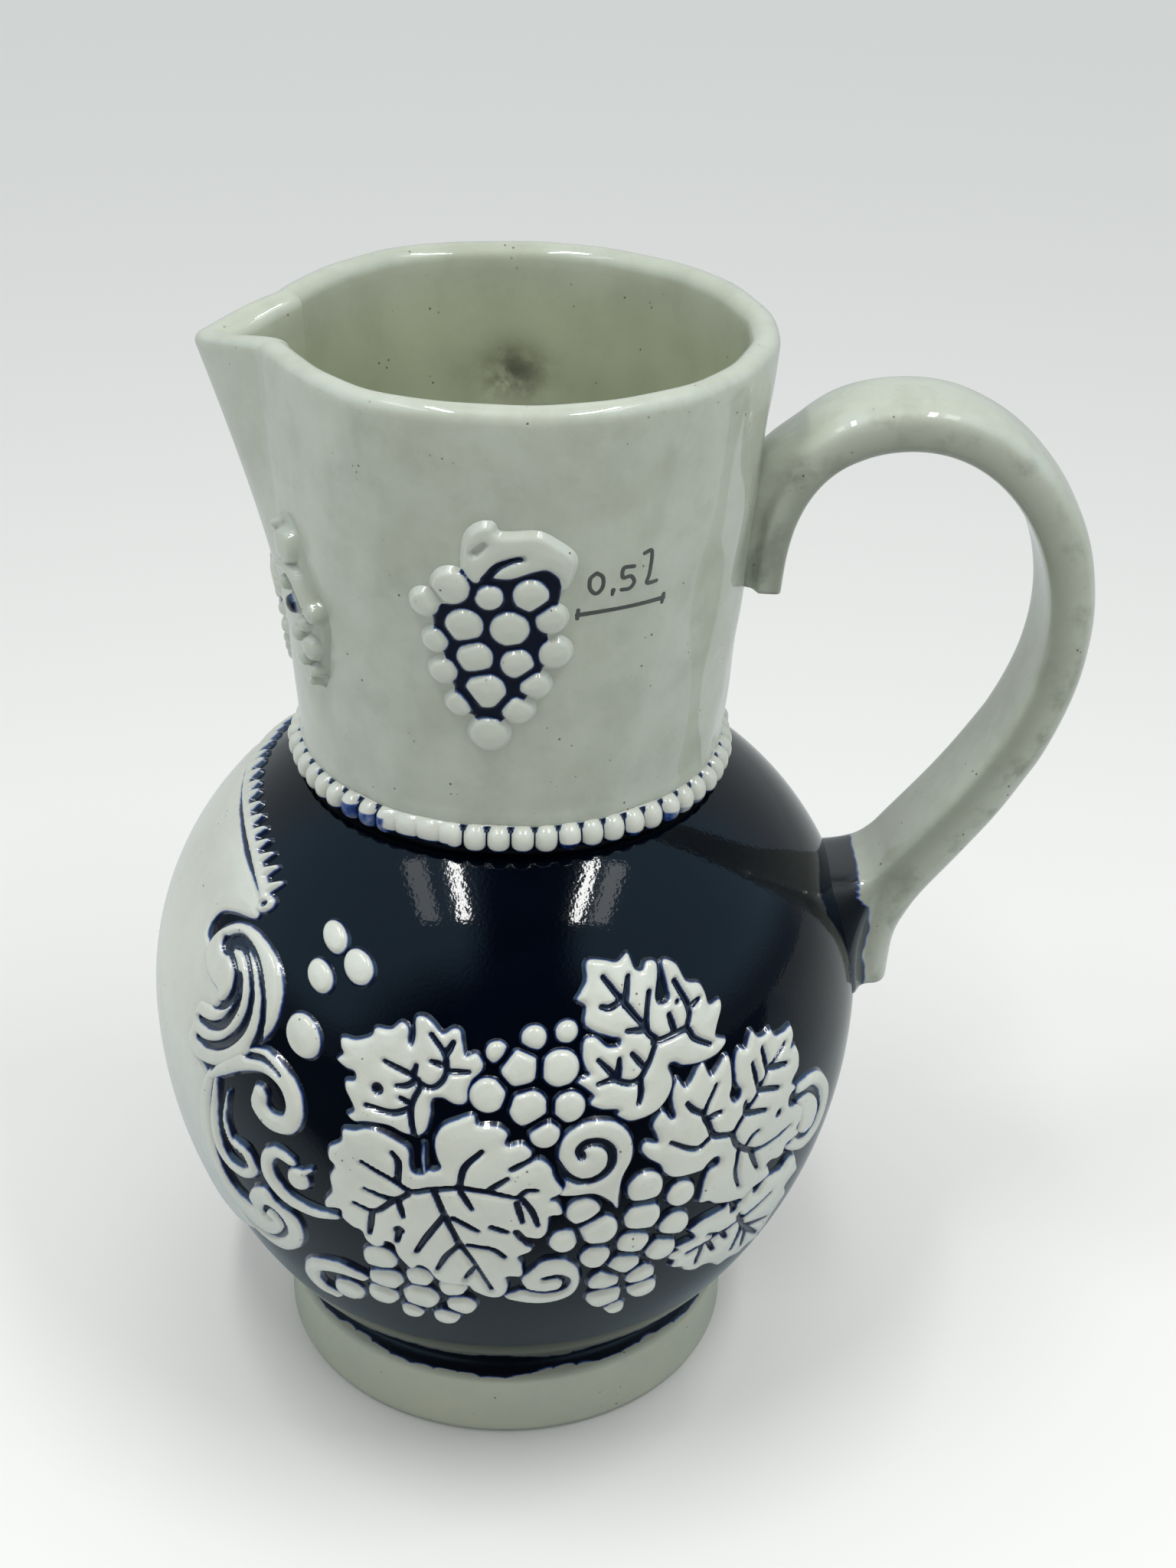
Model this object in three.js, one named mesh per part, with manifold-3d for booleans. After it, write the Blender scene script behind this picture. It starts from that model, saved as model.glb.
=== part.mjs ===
// Half-litre stoneware wine jug with applied vine relief.
// Millimetres, +Z up. The origin is the centre of the foot on the table.
// The spout points along -X, the handle along +X, and the jug is symmetric about the plane Y = 0.

import * as THREE from 'three';
import { mergeVertices } from 'three/addons/utils/BufferGeometryUtils.js';
import { TessellateModifier } from 'three/addons/modifiers/TessellateModifier.js';
import Module from 'manifold-3d';

const wasm = await Module();
wasm.setup();

// Driving dimensions of the turned body
const RIM_HEIGHT = 161;
const FOOT_RADIUS = 34;
const FOOT_HEIGHT = 10.7;
const FOOT_EDGE = 1.6;
const BELLY_BASE_RADIUS = 30.7;
const BELLY_RADIUS = 50.9;
const BELLY_HEIGHT = 60.8;
const NECK_SEAT_HEIGHT = 98.1;
const NECK_BASE_RADIUS = 28.8;
const RIM_RADIUS = 34.2;
const BODY_WALL = 4.5;
const NECK_WALL = 4;
const FLOOR_THICKNESS = 5;

// Spout
const SPOUT_REACH = 8;
const SPOUT_DEPTH = 42;
const SPOUT_HALF_ANGLE = 16;
const SPOUT_TIP_SOFTNESS = 2.5;
const SPOUT_FLARE_POWER = 1.3;
const SPOUT_BEAK_POWER = 1.4;

// Bead collar
const BEAD_COUNT = 60;
const BEAD_RISE = 2.1;
const BEAD_HEIGHT = 3.8;
const BEAD_VALLEY = 0.6;

// Handle
const HANDLE_REACH = 79;
const HANDLE_CROWN_DROP = 8.5;
const HANDLE_CROWN_OUT = 52;
const HANDLE_THICKNESS = 7.4;
const HANDLE_WIDTH = 14.5;
const HANDLE_EDGE = 2.2;
const HANDLE_TAIL_THICKNESS = 6;
const HANDLE_TAPER = 0.18;
const HANDLE_UPPER_TAIL_DROP = 35;
const HANDLE_UPPER_TAIL_STANDOFF = 1.2;
const HANDLE_OUTMOST_DROP = 40.5;
const HANDLE_BEND_RISE = 16.2;
const HANDLE_BEND_STANDOFF = 1.4;
const HANDLE_LOWER_TAIL_RISE = 1.2;
const HANDLE_LOWER_TAIL_STANDOFF = 0.6;

// Applied relief
const SEAM = 0.3;
const LEAF_RISE = 1.3;
const SCROLL_RISE = 1.4;
const BERRY_RISE = 1.7;
const PAD_RISE = 0.6;
const PAD_SHARE = 0.8;
const PANEL_RISE = 0.6;
const BORDER_RISE = 1;
const LEAF_BAY = 0.88;
const LEAF_BAY_LEAST_TURN = 14;
const RELIEF_CUT_DEPTH = 1.5;
const SIDE_SPRIG_TURN = -93;
const SIDE_SPRIG_DROP = 0.8;
const FRONT_SPRIG_DROP = 12;
const FRONT_SPRIG_SHARE = 0.5;
const TUFT_TURN = -150;
const TUFT_DROP = 6.8;
const TUFT_SHARE = 0.72;
const PANEL_FROM_SIDE = 53;
const PANEL_LOW = -26;
const PANEL_HIGH = 29;
const BORDER_OVERHANG = 0.5;
const BORDER_ARCH = 6;
const BORDER_TOOTH = 1.6;
const BORDER_WIDTH = 2.2;
const BORDER_TEETH = 22;

// Fineness of the facets
const TURN_STEPS = 44;
const LOWER_STEPS = 5;
const SHOULDER_STEPS = 6;
const INNER_STEPS = 4;
const SPOUT_STEPS = 6;
const NECK_STEPS = 36;
const NECK_ROWS = 9;
const BORE_ROWS = 3;
const ENVELOPE_STEPS = 24;
const HANDLE_STEPS = 28;
const RIBBON_STEPS = 3;
const BERRY_SIDES = 6;
const LONGEST_EDGE = 7.5;
const SPLIT_ROUNDS = 14;
const MERGE_DISTANCE = 1e-4;

const clay = { color: 0xb9beb4, roughness: 0.45, metalness: 0 };
const bareClay = { color: 0xbfc0b2, roughness: 0.7, metalness: 0 };
const cobalt = { color: 0x0b1226, roughness: 0.12, metalness: 0 };
const slip = { color: 0xcdd0c8, roughness: 0.4, metalness: 0 };

const jug = new THREE.Group();
const radians = THREE.MathUtils.degToRad;

// Solids and meshes

function toSolid(geometry) {
  const bare = geometry.clone();
  bare.deleteAttribute('normal');
  bare.deleteAttribute('uv');
  const merged = mergeVertices(bare, MERGE_DISTANCE);
  const mesh = new wasm.Mesh({
    numProp: 3,
    vertProperties: new Float32Array(merged.attributes.position.array),
    triVerts: new Uint32Array(merged.index.array),
  });
  return new wasm.Manifold(mesh);
}

function toGeometry(solid) {
  const mesh = solid.getMesh();
  const geometry = new THREE.BufferGeometry();
  geometry.setAttribute('position', new THREE.BufferAttribute(new Float32Array(mesh.vertProperties), 3));
  geometry.setIndex(new THREE.BufferAttribute(new Uint32Array(mesh.triVerts), 1));
  return geometry;
}

function largestBody(solid) {
  const bodies = solid.decompose();
  return bodies.reduce((best, body) => (body.volume() > best.volume() ? body : best));
}

function addPiece(name, geometry, finish) {
  const mesh = new THREE.Mesh(geometry, new THREE.MeshStandardMaterial(finish));
  geometry.computeVertexNormals();
  mesh.name = name;
  jug.add(mesh);
}

// The same shape on the other side of the plane Y = 0
function mirrored(geometry) {
  const copy = geometry.clone();
  const points = copy.attributes.position;
  for (let i = 0; i < points.count; i += 1) {
    points.setY(i, -points.getY(i));
  }
  const index = copy.index.array;
  for (let i = 0; i < index.length; i += 3) {
    const kept = index[i];
    index[i] = index[i + 1];
    index[i + 1] = kept;
  }
  return copy;
}

// A ring of section points carried round the axis and closed on itself both ways
function ringGeometry(columns, rows, pointAt) {
  const positions = [];
  const indices = [];
  for (let column = 0; column < columns; column += 1) {
    for (let row = 0; row < rows; row += 1) {
      positions.push(...pointAt(column, row));
    }
  }
  for (let column = 0; column < columns; column += 1) {
    const next = (column + 1) % columns;
    for (let row = 0; row < rows; row += 1) {
      const above = (row + 1) % rows;
      const a = column * rows + row;
      const b = next * rows + row;
      const c = next * rows + above;
      const d = column * rows + above;
      indices.push(a, b, c, a, c, d);
    }
  }
  const geometry = new THREE.BufferGeometry();
  geometry.setAttribute('position', new THREE.BufferAttribute(new Float32Array(positions), 3));
  geometry.setIndex(indices);
  return geometry;
}

// A turned piece: LatheGeometry turns about Y, so it is stood up along Z
function turned(profile) {
  const points = profile.map(([radius, height]) => new THREE.Vector2(radius, height));
  return new THREE.LatheGeometry(points, TURN_STEPS).rotateX(Math.PI / 2);
}

// Walls of the body

const bellyFloor = FOOT_HEIGHT + SEAM;

// Radius of an arc that leaves the widest ring upright and comes in by that much over that height
function arcRadius(inward, height) {
  return (inward ** 2 + height ** 2) / (2 * inward);
}

const shoulderArc = arcRadius(BELLY_RADIUS - NECK_BASE_RADIUS, NECK_SEAT_HEIGHT - BELLY_HEIGHT);
const lowerArc = arcRadius(BELLY_RADIUS - BELLY_BASE_RADIUS, BELLY_HEIGHT - bellyFloor);

// The panel reaches from the middle of the front to a set distance from the middle of each side
const panelHalfWidth = (Math.PI / 2) * BELLY_RADIUS - PANEL_FROM_SIDE;

// Belly wall: two arcs that meet at the widest ring; run is the arc length above that ring
function bellyAt(run, lift) {
  const arc = run > 0 ? shoulderArc : lowerArc;
  const angle = run / arc;
  return {
    radius: BELLY_RADIUS - arc + (arc + lift) * Math.cos(angle),
    height: BELLY_HEIGHT + (arc + lift) * Math.sin(angle),
  };
}

const bellyLowRun = lowerArc * Math.asin((bellyFloor - BELLY_HEIGHT) / lowerArc);
const bellyHighRun = shoulderArc * Math.asin((NECK_SEAT_HEIGHT - BELLY_HEIGHT) / shoulderArc);
const neckBase = NECK_SEAT_HEIGHT + SEAM;
const neckLength = RIM_HEIGHT - neckBase;
const neckBore = NECK_BASE_RADIUS - NECK_WALL;
const collarLow = neckBase + SEAM;
const collarHigh = collarLow + BEAD_HEIGHT;

// Beak of the spout across its angle: a vee with a soft tip
function beak(fromSpout) {
  const soft = Math.hypot(fromSpout, SPOUT_TIP_SOFTNESS) - SPOUT_TIP_SOFTNESS;
  return Math.max(0, 1 - soft / SPOUT_HALF_ANGLE) ** SPOUT_BEAK_POWER;
}

function angleFromSpout(angle) {
  const turn = THREE.MathUtils.radToDeg(angle) - 180;
  return Math.abs(THREE.MathUtils.euclideanModulo(turn + 180, 360) - 180);
}

function neckRadius(angle, height) {
  const share = THREE.MathUtils.clamp((height - neckBase) / neckLength, 0, 1);
  const cone = NECK_BASE_RADIUS + (RIM_RADIUS - NECK_BASE_RADIUS) * share;
  const rise = THREE.MathUtils.clamp(1 - (RIM_HEIGHT - height) / SPOUT_DEPTH, 0, 1);
  return cone + SPOUT_REACH * rise ** SPOUT_FLARE_POWER * beak(angleFromSpout(angle));
}

// Wall functions for the relief: angle round the axis, distance up the wall and lift off it
function onBelly(angle, run, lift) {
  const { radius, height } = bellyAt(run, lift);
  return [radius * Math.cos(angle), radius * Math.sin(angle), height];
}

function onNeck(angle, height, lift) {
  const radius = neckRadius(angle, height) + lift;
  return [radius * Math.cos(angle), radius * Math.sin(angle), height];
}

const bellyWall = { place: onBelly, radiusAt: (run) => bellyAt(run, 0).radius };
const neckWall = { place: onNeck, radiusAt: (height) => neckRadius(0, height) };

// Turned pieces

function arcRuns(from, to, steps) {
  return Array.from({ length: steps + 1 }, (_, i) => from + ((to - from) * i) / steps);
}

function makeFoot() {
  const flat = FOOT_RADIUS - FOOT_EDGE;
  const cut = FOOT_EDGE * (1 - Math.SQRT1_2);
  return turned([
    [0, 0],
    [flat, 0],
    [FOOT_RADIUS - cut, cut],
    [FOOT_RADIUS, FOOT_EDGE],
    [FOOT_RADIUS, FOOT_HEIGHT - FOOT_EDGE],
    [FOOT_RADIUS - cut, FOOT_HEIGHT - cut],
    [flat, FOOT_HEIGHT],
    [0, FOOT_HEIGHT],
  ]);
}

function bellyPoints(from, to, steps, lift) {
  return arcRuns(from, to, steps).map((run) => {
    const { radius, height } = bellyAt(run, lift);
    return [radius, height];
  });
}

function makeBelly() {
  const innerFloor = bellyFloor + FLOOR_THICKNESS;
  const shoulderCentre = BELLY_RADIUS - shoulderArc;
  const innerLow = lowerArc * Math.asin((innerFloor - BELLY_HEIGHT) / (lowerArc - BODY_WALL));
  const innerHigh = shoulderArc * Math.acos((neckBore - shoulderCentre) / (shoulderArc - BODY_WALL));
  return turned([
    [0, bellyFloor],
    ...bellyPoints(bellyLowRun, 0, LOWER_STEPS, 0),
    ...bellyPoints(0, bellyHighRun, SHOULDER_STEPS, 0).slice(1),
    [neckBore, NECK_SEAT_HEIGHT],
    ...bellyPoints(innerHigh, 0, INNER_STEPS, -BODY_WALL),
    ...bellyPoints(0, innerLow, INNER_STEPS, -BODY_WALL).slice(1),
    [0, innerFloor],
  ]);
}

// Angles round the neck, close together over the spout
function neckAngles() {
  const angles = [];
  for (let i = -SPOUT_STEPS; i < SPOUT_STEPS; i += 1) {
    angles.push(180 + (SPOUT_HALF_ANGLE * i) / SPOUT_STEPS);
  }
  const rest = 360 - 2 * SPOUT_HALF_ANGLE;
  for (let i = 0; i < NECK_STEPS; i += 1) {
    angles.push(180 + SPOUT_HALF_ANGLE + (rest * i) / NECK_STEPS);
  }
  return angles.map(radians);
}

// Section of the neck: up the outside, over the rounded lip and down the bore
function neckSection() {
  const lip = NECK_WALL / 2;
  const top = RIM_HEIGHT - lip;
  const outside = arcRuns(neckBase, top, NECK_ROWS).map((height) => [0, height]);
  const lipArc = [45, 90, 135].map((degrees) => {
    const turn = radians(degrees);
    return [lip - lip * Math.cos(turn), top + lip * Math.sin(turn)];
  });
  const inside = arcRuns(top, neckBase, BORE_ROWS).map((height) => [NECK_WALL, height]);
  return [...outside, ...lipArc, ...inside];
}

function makeNeck() {
  const angles = neckAngles();
  const section = neckSection();
  return ringGeometry(angles.length, section.length, (column, row) => {
    const [depth, height] = section[row];
    return onNeck(angles[column], height, -depth);
  });
}

// Collar: a ring of beads laid round the foot of the neck
function makeCollar() {
  const root = neckRadius(0, collarHigh) + SEAM;
  const middle = (collarLow + collarHigh) / 2;
  const section = [
    [0, collarLow],
    [0.6, collarLow],
    [1, middle],
    [0.5, collarHigh],
    [0, collarHigh],
  ];
  const columns = BEAD_COUNT * 2;
  return ringGeometry(columns, section.length, (column, row) => {
    const [share, height] = section[row];
    const angle = (2 * Math.PI * column) / columns;
    const fullness = column % 2 === 0 ? 1 : BEAD_VALLEY;
    const radius = root + BEAD_RISE * share * fullness;
    return [radius * Math.cos(angle), radius * Math.sin(angle), height];
  });
}

// The collar and the belly top inside it as a plain disc, grown by a clearance
function collarHull(clearance) {
  const radius = neckRadius(0, collarHigh) + SEAM + BEAD_RISE + clearance;
  const low = NECK_SEAT_HEIGHT - clearance;
  const high = collarHigh + clearance;
  return toSolid(turned([[0, low], [radius, low], [radius, high], [0, high]]));
}

// The whole outside of the body, grown by a clearance, for cutting what is luted on to it
function bodyEnvelope(clearance) {
  const belly = bellyPoints(bellyLowRun, bellyHighRun, ENVELOPE_STEPS, clearance);
  const bellyHull = turned([[0, belly[0][1]], ...belly, [0, belly[belly.length - 1][1]]]);
  const angles = neckAngles();
  const top = RIM_HEIGHT + clearance;
  const section = [
    ...arcRuns(neckBase, top, NECK_ROWS).map((height) => [clearance, height]),
    [-NECK_WALL, top],
    [-NECK_WALL, neckBase],
  ];
  const neckHull = ringGeometry(angles.length, section.length, (column, row) => {
    const [lift, height] = section[row];
    return onNeck(angles[column], height, lift);
  });
  return wasm.Manifold.union([toSolid(bellyHull), collarHull(clearance), toSolid(neckHull)]);
}

// Handle

// Lengths of the curve arms, as shares of the height or width that each stretch covers
const HANDLE_ARMS = {
  upperUp: 0.58,
  crownIn: 0.74,
  crownOut: 0.56,
  outmostUp: 0.53,
  outmostDown: 0.41,
  bendUp: 0.21,
  bendDown: 0.17,
  lowerUp: 0.45,
};

// Middle line of the strap, from the tail on the neck to the tail on the belly
function handlePath() {
  const half = HANDLE_THICKNESS / 2;
  const point = (x, y) => new THREE.Vector2(x, y);
  const upperHeight = RIM_HEIGHT - HANDLE_UPPER_TAIL_DROP;
  const upper = point(neckRadius(0, upperHeight) + HANDLE_UPPER_TAIL_STANDOFF, upperHeight);
  const crown = point(HANDLE_CROWN_OUT, RIM_HEIGHT - HANDLE_CROWN_DROP - half);
  const outmost = point(HANDLE_REACH - half, RIM_HEIGHT - HANDLE_OUTMOST_DROP);
  const bend = point(BELLY_RADIUS + HANDLE_BEND_STANDOFF, BELLY_HEIGHT + HANDLE_BEND_RISE);
  const lower = point(BELLY_RADIUS + HANDLE_LOWER_TAIL_STANDOFF, BELLY_HEIGHT + HANDLE_LOWER_TAIL_RISE);
  const rise = crown.y - upper.y;
  const run = crown.x - upper.x;
  const drop = crown.y - outmost.y;
  const reach = outmost.x - crown.x;
  const fall = outmost.y - bend.y;
  const tail = bend.y - lower.y;
  const arms = HANDLE_ARMS;
  const path = new THREE.CurvePath();
  const curve = (a, aArm, bArm, b) => {
    path.add(new THREE.CubicBezierCurve(a, a.clone().add(aArm), b.clone().add(bArm), b));
  };
  curve(upper, point(0, rise * arms.upperUp), point(-run * arms.crownIn, 0), crown);
  curve(crown, point(reach * arms.crownOut, 0), point(0, drop * arms.outmostUp), outmost);
  curve(outmost, point(0, -fall * arms.outmostDown), point(fall * arms.bendUp, fall * arms.bendUp), bend);
  curve(bend, point(-tail * arms.bendDown, -tail * arms.bendDown), point(0, tail * arms.lowerUp), lower);
  return path;
}

// Strap cut to its side outline, with softened edges, grown by a clearance
function handleStrap(clearance) {
  const path = handlePath();
  const outer = [];
  const inner = [];
  for (let i = 0; i <= HANDLE_STEPS; i += 1) {
    const share = i / HANDLE_STEPS;
    const point = path.getPoint(share);
    const along = path.getTangent(share);
    const taper = Math.min(1, Math.min(share, 1 - share) / HANDLE_TAPER);
    const thickness = HANDLE_TAIL_THICKNESS + (HANDLE_THICKNESS - HANDLE_TAIL_THICKNESS) * taper;
    const across = new THREE.Vector2(-along.y, along.x).multiplyScalar(thickness / 2 + clearance);
    outer.push(point.clone().add(across));
    inner.push(point.clone().sub(across));
  }
  const outline = new THREE.Shape([...outer, ...inner.reverse()]);
  const width = HANDLE_WIDTH + 2 * clearance;
  const strap = new THREE.ExtrudeGeometry(outline, {
    depth: width - 2 * HANDLE_EDGE,
    bevelEnabled: true,
    bevelThickness: HANDLE_EDGE,
    bevelSize: HANDLE_EDGE,
    bevelOffset: -HANDLE_EDGE,
    bevelSegments: 2,
  });
  strap.rotateX(Math.PI / 2);
  strap.translate(0, width / 2 - HANDLE_EDGE, 0);
  return toSolid(strap);
}

function makeHandle() {
  return toGeometry(largestBody(handleStrap(0).subtract(bodyEnvelope(SEAM))));
}

// Flat shapes of the relief: x runs round the wall, y up it and z off it

function prism(points, base, top) {
  const shape = new THREE.Shape(points.map(([x, y]) => new THREE.Vector2(x, y)));
  const plate = new THREE.ExtrudeGeometry(shape, { depth: top - base, bevelEnabled: false });
  return plate.translate(0, 0, base);
}

// Vine leaf: lobe tips given by angle and reach from the joint of the veins, shallow bays between them
function leafOutline(tips, grow) {
  const points = [];
  tips.forEach(([angle, reach], i) => {
    const [nextAngle, nextReach] = tips[(i + 1) % tips.length];
    const turn = THREE.MathUtils.euclideanModulo(nextAngle - angle, 360);
    const bay = Math.min(reach, nextReach) * LEAF_BAY;
    points.push([angle, reach]);
    if (turn > LEAF_BAY_LEAST_TURN) {
      points.push([angle + turn / 2, bay]);
    }
  });
  return points.map(([angle, reach]) => {
    const turn = radians(angle);
    return [(reach + grow) * Math.cos(turn), (reach + grow) * Math.sin(turn)];
  });
}

// Ribbon of changing width along a smooth line, for scrolls and tendrils
function ribbonOutline(line, widths, grow) {
  const curve = new THREE.SplineCurve(line.map(([x, y]) => new THREE.Vector2(x, y)));
  const steps = line.length * RIBBON_STEPS;
  const left = [];
  const right = [];
  for (let i = 0; i <= steps; i += 1) {
    const share = i / steps;
    const point = curve.getPointAt(share);
    const along = curve.getTangentAt(share);
    const place = share * (widths.length - 1);
    const from = Math.min(Math.floor(place), widths.length - 2);
    const width = widths[from] + (widths[from + 1] - widths[from]) * (place - from);
    const half = width / 2 + grow;
    const end = i === 0 ? -grow : i === steps ? grow : 0;
    const x = point.x + along.x * end;
    const y = point.y + along.y * end;
    left.push([x - along.y * half, y + along.x * half]);
    right.push([x + along.y * half, y - along.x * half]);
  }
  return [...right, ...left.reverse()];
}

function circleOutline([x, y, radius], grow, sides) {
  return Array.from({ length: sides }, (_, i) => {
    const turn = (2 * Math.PI * i) / sides;
    return [x + (radius + grow) * Math.cos(turn), y + (radius + grow) * Math.sin(turn)];
  });
}

// Dome of one berry, standing on the height base
function dome([x, y, radius], base, rise) {
  const profile = [
    [0, 0],
    [radius, 0],
    [radius * 0.78, rise * 0.7],
    [0, rise],
  ];
  const points = profile.map(([r, h]) => new THREE.Vector2(r, h));
  return new THREE.LatheGeometry(points, BERRY_SIDES).rotateX(Math.PI / 2).translate(x, y, base);
}

// Outline of the smallest convex field round some points
function convexOutline(points) {
  const sorted = [...points].sort((a, b) => a[0] - b[0] || a[1] - b[1]);
  const turnsRight = (o, a, b) => (a[0] - o[0]) * (b[1] - o[1]) - (a[1] - o[1]) * (b[0] - o[0]) <= 0;
  const chain = (list) => {
    const kept = [];
    list.forEach((point) => {
      while (kept.length > 1 && turnsRight(kept[kept.length - 2], kept[kept.length - 1], point)) {
        kept.pop();
      }
      kept.push(point);
    });
    return kept.slice(0, -1);
  };
  return [...chain(sorted), ...chain(sorted.reverse())];
}

// Bunch of grapes: berry domes on a thin pad
function bunchSolid(berries) {
  const field = berries.flatMap(([x, y, radius]) => {
    const core = [x, y, radius * PAD_SHARE];
    return circleOutline(core, 0, BERRY_SIDES);
  });
  const pad = toSolid(prism(convexOutline(field), 0, PAD_RISE));
  const domes = berries.map((berry) => toSolid(dome(berry, PAD_RISE / 2, BERRY_RISE)));
  return wasm.Manifold.union([pad, ...domes]);
}

function bunchOutline(berries, grow) {
  return convexOutline(berries.flatMap((berry) => circleOutline(berry, grow, BERRY_SIDES)));
}

// Laying the relief on its wall

// Long facets are split so that they follow the round wall, then every point is carried to the wall
function wrapped(flat, wall, middleAngle, middleHeight) {
  const loose = flat.index ? flat.toNonIndexed() : flat.clone();
  loose.deleteAttribute('normal');
  loose.deleteAttribute('uv');
  const fine = new TessellateModifier(LONGEST_EDGE, SPLIT_ROUNDS).modify(loose);
  const points = fine.attributes.position;
  for (let i = 0; i < points.count; i += 1) {
    const height = middleHeight + points.getY(i);
    const angle = middleAngle + points.getX(i) / wall.radiusAt(height);
    points.setXYZ(i, ...wall.place(angle, height, points.getZ(i) + SEAM));
  }
  return mergeVertices(fine, MERGE_DISTANCE);
}

const keepOutHigh = LEAF_RISE + SCROLL_RISE + BERRY_RISE + PAD_RISE;
const keepOuts = [collarHull(SEAM), handleStrap(SEAM)];

// Cuts a sprig clear of those laid before it, and keeps its own place clear for those that follow
function laySprig(flat, outline, wall, middleAngle, middleHeight) {
  let solid = toSolid(wrapped(flat, wall, middleAngle, middleHeight));
  keepOuts.forEach((keepOut) => {
    solid = solid.subtract(keepOut);
  });
  const field = prism(outline, -RELIEF_CUT_DEPTH, keepOutHigh);
  keepOuts.push(toSolid(wrapped(field, wall, middleAngle, middleHeight)));
  return toGeometry(largestBody(solid));
}

// A sprig of one side and its twin on the other side
function layPair(name, flat, outline, wall, height, finish) {
  const geometry = laySprig(flat, outline, wall, radians(-90), height);
  addPiece(`${name}_left`, geometry, finish);
  addPiece(`${name}_right`, mirrored(geometry), finish);
}

function moved(points, [x, y]) {
  return points.map(([px, py]) => [px + x, py + y]);
}

// Layout of the vine on one side. Places are in millimetres round the belly from the middle of the side
// and up the wall from its widest ring; leaf tips are angle and reach from the joint of the veins.

const LEAVES = {
  leaf_large: {
    at: [-10, -0.5],
    tips: [[-5, 17], [28, 15], [62, 12.5], [84, 9], [112, 3], [131, 10.6], [152, 13.6], [172, 14.6],
      [203, 16.2], [217, 15.5], [237, 14.8], [259, 15.8], [273, 17.5], [292, 22], [320, 16.5],
      [332, 16.5]],
  },
  leaf_right: {
    at: [31.5, 2],
    tips: [[-14, 14.5], [5, 12.3], [23, 14], [44, 15.2], [61, 14], [77, 13.6], [87, 6], [97, 11.8],
      [113, 13], [130, 14], [151, 13.8], [168, 13.8], [186, 11.4], [240, 5], [244, 11], [263, 12.5],
      [290, 13], [309, 13.4], [324, 13.5]],
  },
  leaf_top: {
    at: [19, 19],
    tips: [[8, 10.6], [30, 9], [50, 8], [79, 9.6], [86, 5], [93, 9.7], [109, 12], [130, 14.2],
      [147, 12.3], [160, 10], [180, 6], [199, 11], [221, 10.6], [254, 10.8], [276, 9], [308, 5.5],
      [324, 8.5], [343, 11.7]],
  },
  leaf_left: {
    at: [-11, 14.5],
    tips: [[24, 8.5], [38, 6.8], [60, 8.9], [93, 9], [104, 5.4], [112, 8], [134, 9.1], [160, 11.6],
      [175, 11.8], [193, 10.8], [214, 11.4], [240, 7.5], [274, 6.4], [336, 5.6]],
  },
  leaf_low: {
    at: [34.5, -15.8],
    tips: [[7, 12.4], [27, 11.5], [70, 5.5], [127, 5.9], [162, 9.8], [201, 12], [227, 11],
      [251, 10.6], [275, 11], [307, 10.7], [340, 10.2]],
  },
};

const BUNCHES = {
  grapes_top: [[1.4, 17.3, 2.3], [6.5, 17, 2.3], [-2.6, 13.7, 2.2], [2.6, 12, 2.4], [7.8, 11.8, 2.1],
    [5, 8.3, 2], [3.2, 21.2, 1.6], [7.4, 21.7, 1.5], [-1.5, 19.5, 1.4]],
  grapes_right: [[10, -4.3, 2.2], [18.4, -2.2, 2.5], [23.7, -4.9, 2.1], [12.2, -8.3, 2.5],
    [18.2, -7.3, 2.5], [7.4, -9.6, 1.8], [23, -10.3, 2.3], [17.1, -12, 2.3], [11.8, -13.6, 2.1],
    [15.9, -16.3, 2.3], [21.2, -14.9, 2.2], [13.2, -19.3, 2.2], [18.4, -19.8, 2.2],
    [13.3, -23.4, 2.4], [18.7, -23.4, 2.2], [15.4, -27, 1.7]],
  grapes_low: [[-17.2, -15.6, 2.4], [-11.7, -18, 1.9], [-16.6, -20.2, 2.4], [-7.5, -19.6, 1.9],
    [-11.6, -23, 2.5], [-17, -24.2, 2.3], [-6, -23.8, 2.1], [-12.8, -27, 1.7], [-8.1, -27.4, 1.9]],
};

const BERRIES = {
  berry_single: [-28.3, 16.6, 3],
  berry_trio_high: [-24.2, 30.2, 2],
  berry_trio_near: [-20.4, 27.6, 2.2],
  berry_trio_low: [-26.3, 25, 2.1],
};

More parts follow.
